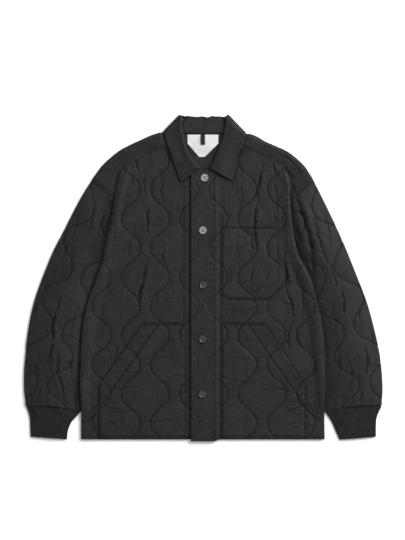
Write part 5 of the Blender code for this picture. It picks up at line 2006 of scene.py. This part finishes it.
@dataclass
class Collar:
    """The turned-down collar: one fall that wraps round behind the neck, and the stand inside it.

    Attributes:
        step: Spacing of the grids.
        stitch_in: How far the topstitching runs from the free edges.
    """

    step: float = 1.9
    stitch_in: float = 6.0

    def fall_line(self, row: CollarRow, normal: Array) -> list[Array]:
        """Points across the fall, from under the roll, round it, and out to the free edge."""
        roll = np.array([row.roll_x, row.roll_y, row.roll_mid])
        free = np.array([row.free_x, row.free_y, row.free_mid])
        across = (free - roll) * (1, 1, 0)
        across = across / np.linalg.norm(across)
        start = roll + across * (FALL / 2)
        points = []
        for angle in np.radians([-90, -45, 0, 45, 90]):
            sideways, upward = 1 - math.cos(angle), math.sin(angle) - 1
            points.append(start + across * ROLL * sideways + normal * ROLL * upward)
        first = points[-1]
        for t in (0.25, 0.5, 0.75, 1.0):
            point = first + (free - first) * t
            point[2] = free[2] + (first[2] - free[2]) * (1 - t * t)
            points.append(point)
        return points

    def folded(self, row: CollarRow, angle: float) -> tuple[CollarRow, Array]:
        """The line of the side fold, turned about its axis: 90 degrees on top, -90 underneath."""
        a = math.radians(angle)
        roll, free = np.array([row.roll_x, row.roll_y]), np.array([row.free_x, row.free_y])
        along = (free - roll) / np.linalg.norm(free - roll)
        outward = np.array([-along[1], along[0]])
        outward = -outward if outward[1] < 0 else outward
        shift = -outward * (FOLD_DEPTH * (1 - math.cos(a)) + FALL / 2)

        def height(top: float) -> float:
            """Height of the wall's middle at that turn of the fold."""
            return (top + FALL / 2) / 2 + (top - FALL / 2) / 2 * math.sin(a)

        moved = row._replace(
            roll_x=row.roll_x + shift[0],
            roll_y=row.roll_y + shift[1],
            free_x=row.free_x + shift[0],
            free_y=row.free_y + shift[1],
            roll_mid=height(row.roll_mid),
            free_mid=height(row.free_mid),
        )
        return moved, np.array([outward[0] * math.cos(a), outward[1] * math.cos(a), math.sin(a)])

    def lines(self) -> list[tuple[CollarRow, Array]]:
        """(row, outer normal) of each line, from the left front end round the neck to the right."""
        up, down = np.array([0, 0, 1.0]), np.array([0, 0, -1.0])
        angles = (90, 50, 10, -30, -60, -90)
        rows = [(row, up) for row in COLLAR_LEAF[Side.LEFT]]
        rows += [self.folded(COLLAR_FOLD[Side.LEFT], angle) for angle in angles]
        rows += [(row, down) for row in COLLAR_BACK]
        rows += [self.folded(COLLAR_FOLD[Side.RIGHT], angle) for angle in reversed(angles)]
        rows += [(row, up) for row in reversed(COLLAR_LEAF[Side.RIGHT])]
        return rows

    def build_fall(self) -> tuple[Panel, list[Array]]:
        """The fall with its topstitched edges, and the paths of the topstitching on it."""
        coarse = np.array([self.fall_line(row, normal) for row, normal in self.lines()])
        near_end = (-3.0, 0.0, 0.6)
        grid = refine(coarse, 0, self.step, ((0.0, 3.0, 0.6), near_end))
        grid = refine(grid, 1, 1.7, ((0.0, 6.0, 0.6), near_end))
        pattern = arc_pattern(grid)
        u, v = pattern[..., 0], pattern[..., 1]
        width, length = u.max(), v.max()
        end_gap = np.minimum(v, length - v)
        side_gap = width - u
        edge_gap = np.minimum(end_gap, side_gap)
        back = ease((0.5 * length - abs(v - 0.5 * length) - 130.0) / 20.0)
        groove = -0.55 * bell(edge_gap - self.stitch_in, 1.3)
        pucker = 0.2 * noise(v + u, u, 4.0, 5.0, 43) * bell(edge_gap - self.stitch_in, 4.0)
        soft = 0.5 * noise(v, u, 30.0, 26.0, 77) + 0.3 * noise(v, u, 11.0, 18.0, 78)
        top = ease((u - 5.0) / 8.0)
        facing = -Shell("", grid, FALL, pattern).normals()[..., 2]
        above = ease((facing + 0.2) / 0.6)
        rim = 0.55 * bell(edge_gap - 2.6, 2.2)
        outer = (groove + pucker + rim + (soft + 0.35) * top * ease(edge_gap / 9.0)) * above
        middle = grid.copy()
        wave = noise(v, u, 19.0, 300.0, 90) + 0.6 * noise(v, u, 8.0, 300.0, 91)
        middle[..., 1] += 1.5 * wave * back * ease((12.0 - u) / 8.0)
        # Painted shade along the topstitching's groove and on the fall just past the roll.
        painted_shade = np.maximum(0.55 * bell(edge_gap - self.stitch_in, 1.2), 0.35 * bell(u - 16.0, 9.0)) * above
        parts = (middle[:, ::-1], FALL, pattern[:, ::-1], outer[:, ::-1], 0.0, painted_shade[:, ::-1])
        shell = Shell("collar_fall_cloth", *parts, rim=1.0)
        obj = shell.build()
        finish_piece(obj, PLAINCLOTH, "plain_cloth", "collar_fall")
        panel = Panel(shell, obj)
        columns, rows = u.shape[1], u.shape[0]
        near_free = columns - 1 - int(np.argmin(abs(width - u[0] - self.stitch_in)))
        first = int(np.argmin(abs(v[:, 0] - self.stitch_in)))
        across = np.arange(near_free, columns - 4)
        paths = [panel.on_face(np.arange(first, rows - first), near_free)]
        for row in (first, rows - 1 - first):
            paths.append(panel.on_face(row, across))
        return panel, paths

    def build_stand(self) -> Panel:
        """The band inside, wrinkled up and down behind the neck."""
        lines = []
        for row, normal in self.lines():
            roll_edge = np.array(self.fall_line(row, normal)[0])
            neck = np.array([row.neck_x, row.neck_y, row.neck_mid])
            across = (neck - roll_edge) * (1, 1, 0)
            start = roll_edge - across / np.linalg.norm(across) * 0.9
            lines.append([start + (neck - start) * share for share in (0, 0.35, 0.7, 1.0)])
        grid = refine(refine(np.array(lines), 0, self.step), 1, 1.6)
        pattern = arc_pattern(grid)
        u, v = pattern[..., 0], pattern[..., 1]
        length = v.max()
        back = ease((0.5 * length - abs(v - 0.5 * length) - 105.0) / 16.0)
        wrinkles = 0.4 * noise(v, u, 6.0, 50.0, 13) + 0.35 * noise(v, u, 13.0, 30.0, 14)
        seam = -0.5 * bell(u.max() - u - 4.0, 1.3) - 0.4 * bell(u - 5.0, 1.3)
        outer = np.maximum((wrinkles + 0.5 + seam) * back * ease(u / 4.0), -0.7)
        # Painted shade by the neck seam and in the wrinkles' troughs behind the neck, and over the stand's
        # front ends.
        painted_shade = (0.35 * bell(u.max() - u - 1.0, 2.2) + 0.4 * np.maximum(-wrinkles, 0.0)) * back
        painted_shade = np.clip(np.maximum(painted_shade, 0.6 * (1 - back)), 0.0, 1.0)
        shell = Shell("collar_stand_cloth", grid, PLAIN, pattern, outer, 0.0, painted_shade, rim=0.5)
        obj = shell.build()
        finish_piece(obj, PLAINCLOTH, "plain_cloth", "collar_stand")
        return Panel(shell, obj)


# ------------------------------------------------------------------ patch, loop and buttons


@dataclass
class NeckPatch:
    """A bare five-sided patch sewn inside the back, with the hanging loop down its middle.

    Attributes:
        top: y of its upper edge.
        shoulder: y where its lower edges start to run together.
        tip: y of its lower edge.
        left: x of its left edge.
        right: x of its right edge.
    """

    top: float = 343.5
    shoulder: float = 322.0
    tip: float = 290.0
    left: float = -38.0
    right: float = 36.0
    tip_left: float = -10.0
    tip_right: float = 3.0

    def height(self, x: Array, y: Array) -> Array:
        """Height of the middle of the patch above the back."""
        return BACK_MID + neck_lift(x, y) + (QUILT + 0.8) / 2 + LAYER

    def build(self) -> None:
        """The patch and its loop."""
        y = (self.tip + (self.top - self.tip) * graded(self.top - self.tip, 1.2))[:, None]
        wide = np.clip((y - self.tip) / (self.shoulder - self.tip), 0.0, 1.0)
        start = self.tip_left + (self.left - self.tip_left) * wide
        end = self.tip_right + (self.right - self.tip_right) * wide
        x = start + (end - start) * graded(self.right - self.left, 1.2)[None, :]
        y = np.broadcast_to(y, x.shape)
        grid = stack(x, y, self.height(x, y))
        ripple = 0.25 * noise(x, y, 13.0, 30.0, 3) + 0.12 * noise(x, y, 5.0, 9.0, 4)
        hem = 0.25 * (bell(x - self.left - 3, 1.2) + bell(x - self.right + 3, 1.2))
        shell = Shell("neck_patch_cloth", grid, 0.8, flat_pattern(grid), ripple + 0.1 - hem, rim=0.4)
        obj = shell.build()
        finish_piece(obj, PATCH_CLOTH, "white_patch", "neck_patch")
        y = np.linspace(319.0, 343.5, 30)[:, None]
        x = np.linspace(-6.0, 4.0, 22)[None, :]
        x, y = np.broadcast_arrays(x, y)
        lift = 0.9 * np.sin(math.pi * (y - 319.0) / 24.5)
        grid = stack(x, y, self.height(x, y) + (0.8 + 1.2) / 2 + LAYER + lift)
        ridge = 0.3 * bell(abs(x + 1.0) - 3.6, 0.8) + 0.12 * np.cos((abs(x + 1.0) + y) * 2.6)
        loop = Shell("hanger_loop_tape", grid, 1.2, flat_pattern(grid), ridge, rim=0.6)
        obj = loop.build()
        finish_piece(obj, PLAINCLOTH, "plain_cloth", "hanger_loop")


BUTTONS = ((3.0, 240.0), (-1.0, 114.0), (0.0, -16.0), (-1.0, -146.0), (-2.0, -278.0))


@dataclass
class Fastening:
    """The five buttons, the threads that hold them, and the worked buttonholes beside them.

    Attributes:
        hole_place: How far each hole sits from the middle of a button.
        face: Height of a button's dish.
        slit: Where the buttonhole starts and ends, right of the button's middle.
    """

    hole_place: float = 2.5
    face: float = 12.2
    slit: tuple[float, float] = (8.0, 21.0)

    def dress_buttons(self) -> None:
        """Give the frame's buttons their horn; the first two get a lighter copy of it, a painted reflection.
        """
        for number in range(1, len(BUTTONS) + 1):
            # Buttons 1 and 2 take the lighter horn as a painted reflection.
            finish = HORN_PAINTED_REFLECTION if number <= 2 else GREY_HORN
            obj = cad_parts[f"button_{number}"]
            for slot in obj.material_slots:
                slot.material = finish.material()

    def build_threads(self) -> None:
        """Two bars of thread across the holes of each button."""
        threads = Stitches("button_threads", length=2 * self.hole_place, pitch=9.0, radius=0.5)
        for x, y in BUTTONS:
            for offset in (-self.hole_place, self.hole_place):
                for shift in (-0.35, 0.35):
                    row = y + offset + shift
                    start = (x - self.hole_place - 0.4, row, self.face)
                    end = (x + self.hole_place + 0.6, row, self.face)
                    threads.add(np.array([start, end]))
        obj = threads.build()
        finish_piece(obj, SEAM_THREAD, "plain_cloth")

    def build_buttonholes(self, front: Front) -> None:
        """A flat ring of close stitches round each slit: a tube along a long loop, ribbed by the stitches."""
        points, faces = [], []
        count, sides = 120, 6
        for index, (x, y) in enumerate(BUTTONS):
            t = np.linspace(0, 2 * math.pi, count, endpoint=False)
            straight = (self.slit[1] - self.slit[0]) / 2 - 1.2
            middle = x + sum(self.slit) / 2
            run = np.sign(np.cos(t)) * np.minimum(1, abs(np.cos(t)) * 1.6)
            cx = middle + straight * run + 0.5 * np.cos(t)
            cy = y + 1.15 * np.clip(np.sin(t) * 1.5, -1, 1)
            level, outer, _ = front.heights(cx, cy)
            cz = level + QUILT / 2 + outer + 0.1
            radius = 0.75 + 0.12 * np.cos(t * 40)
            angles = 2 * math.pi * np.arange(sides) / sides
            out_x, out_y = np.cos(t), np.sin(t)
            ring = np.stack(
                [
                    cx[:, None] + out_x[:, None] * radius[:, None] * np.cos(angles),
                    cy[:, None] + out_y[:, None] * radius[:, None] * np.cos(angles),
                    cz[:, None] + 0.7 * radius[:, None] * np.sin(angles),
                ],
                axis=-1,
            )
            i, j = np.meshgrid(np.arange(count), np.arange(sides), indexing="ij")
            a, b = i * sides + j, i * sides + (j + 1) % sides
            c, d = ((i + 1) % count) * sides + (j + 1) % sides, ((i + 1) % count) * sides + j
            faces.append(np.stack([a, b, c, d], axis=-1).reshape(-1, 4)[:, ::-1] + index * count * sides)
            points.append(ring.reshape(-1, 3))
        obj = make_mesh("buttonhole_stitching", np.concatenate(points), np.concatenate(faces))
        finish_piece(obj, SEAM_THREAD, "plain_cloth")


# ------------------------------------------------------------------ studio


@dataclass
class Studio:
    """A pale floor, soft lights and a camera that looks straight down.

    Attributes:
        centre: x and y of the middle of the view, in metres.
        field: Height of the view in metres.
        lens: Focal length in millimetres.
        key: Power of the key light in watts.
        fill: Brightness of the surroundings.
    """

    centre: tuple[float, float] = (-0.002, 0.019)
    field: float = 1.296
    lens: float = 120.0
    key: float = 430.0
    fill: float = 0.55

    def build_floor(self) -> None:
        """A wide plain floor just under the jacket."""
        mesh = bpy.data.meshes.new("floor")
        reach, level = 6.0, -0.0006
        corners = [(x * reach, y * reach, level) for x, y in ((-1, -1), (1, -1), (1, 1), (-1, 1))]
        mesh.from_pydata(corners, [], [(0, 1, 2, 3)])
        floor = bpy.data.objects.new("floor", mesh)
        bpy.context.scene.collection.objects.link(floor)
        made = bpy.data.materials.new("floor_paper")
        made.use_nodes = True
        shader = made.node_tree.nodes["Principled BSDF"]
        shader.inputs["Base Color"].default_value = (0.93, 0.93, 0.93, 1.0)
        shader.inputs["Roughness"].default_value = 0.95
        shader.inputs["Specular IOR Level"].default_value = 0.1
        mesh.materials.append(made)

    def add_area(self, name: str, place: tuple[float, float, float], size: float, power: float) -> None:
        """A square area light that looks at the middle of the jacket."""
        data = bpy.data.lights.new(name, "AREA")
        data.size, data.energy = size, power
        lamp = bpy.data.objects.new(name, data)
        x, y, z = place
        distance = math.sqrt(x * x + y * y + z * z)
        lamp.location = place
        lamp.rotation_euler = (math.acos(z / distance), 0.0, math.atan2(y, x) + math.pi / 2)
        bpy.context.scene.collection.objects.link(lamp)

    def build_lights(self) -> None:
        """A broad key from the upper right and an even white surround."""
        self.add_area("key_light", (3.0, 2.6, 2.9), 3.6, self.key)
        world = bpy.data.worlds.new("surround")
        world.use_nodes = True
        background = world.node_tree.nodes["Background"]
        background.inputs["Color"].default_value = (1.0, 1.0, 1.0, 1.0)
        background.inputs["Strength"].default_value = self.fill
        bpy.context.scene.world = world
        bpy.context.scene.view_settings.view_transform = "Standard"

    def build_camera(self) -> None:
        """Straight down, with the collar up."""
        data = bpy.data.cameras.new("camera")
        data.lens, data.sensor_width = self.lens, 36.0
        camera = bpy.data.objects.new("camera", data)
        height = self.field / 2 * self.lens / (data.sensor_width / 2)
        camera.location = (*self.centre, height)
        bpy.context.scene.collection.objects.link(camera)
        bpy.context.scene.camera = camera


def build_topstitching(
    fronts: dict[Side, Front], pockets: dict[Side, LowerPocket], collar: list[Array]
) -> None:
    """The lines of thread along the seams of the fronts, the pockets and the collar."""
    threads = Stitches("topstitching")
    for side, front in fronts.items():
        for seam in FRONT_SEAMS[side]:
            threads.add(front.top(seam.path))
        for seam in POCKET_SEAMS[side]:
            threads.add(pockets[side].top(seam.path))
    for path in collar:
        threads.add(path)
    obj = threads.build()
    finish_piece(obj, SEAM_THREAD, "plain_cloth")
    LOG.info("%s: %d faces", obj.name, len(obj.data.polygons))


def main() -> None:
    """Build the jacket's pieces from the surface up, then the studio."""
    logging.basicConfig(level=logging.INFO, format="%(name)s: %(message)s")
    Back().build()
    fronts = {Side.LEFT: Front(Side.LEFT, -UNDERLAY_EDGE), Side.RIGHT: Front(Side.RIGHT, PLACKET_EDGE)}
    pockets = {side: LowerPocket(side) for side in Side}
    for side in Side:
        fronts[side].build()
        pockets[side].build()
        Yoke(side).build()
        Sleeve(side).build()
        Cuff(side).build()
    ChestPocket().build()
    collar = Collar()
    _, paths = collar.build_fall()
    collar.build_stand()
    NeckPatch().build()
    fastening = Fastening()
    fastening.dress_buttons()
    fastening.build_threads()
    fastening.build_buttonholes(fronts[Side.RIGHT])
    build_topstitching(fronts, pockets, paths)
    studio = Studio()
    studio.build_floor()
    studio.build_lights()
    studio.build_camera()


if __name__ == "__main__":
    main()
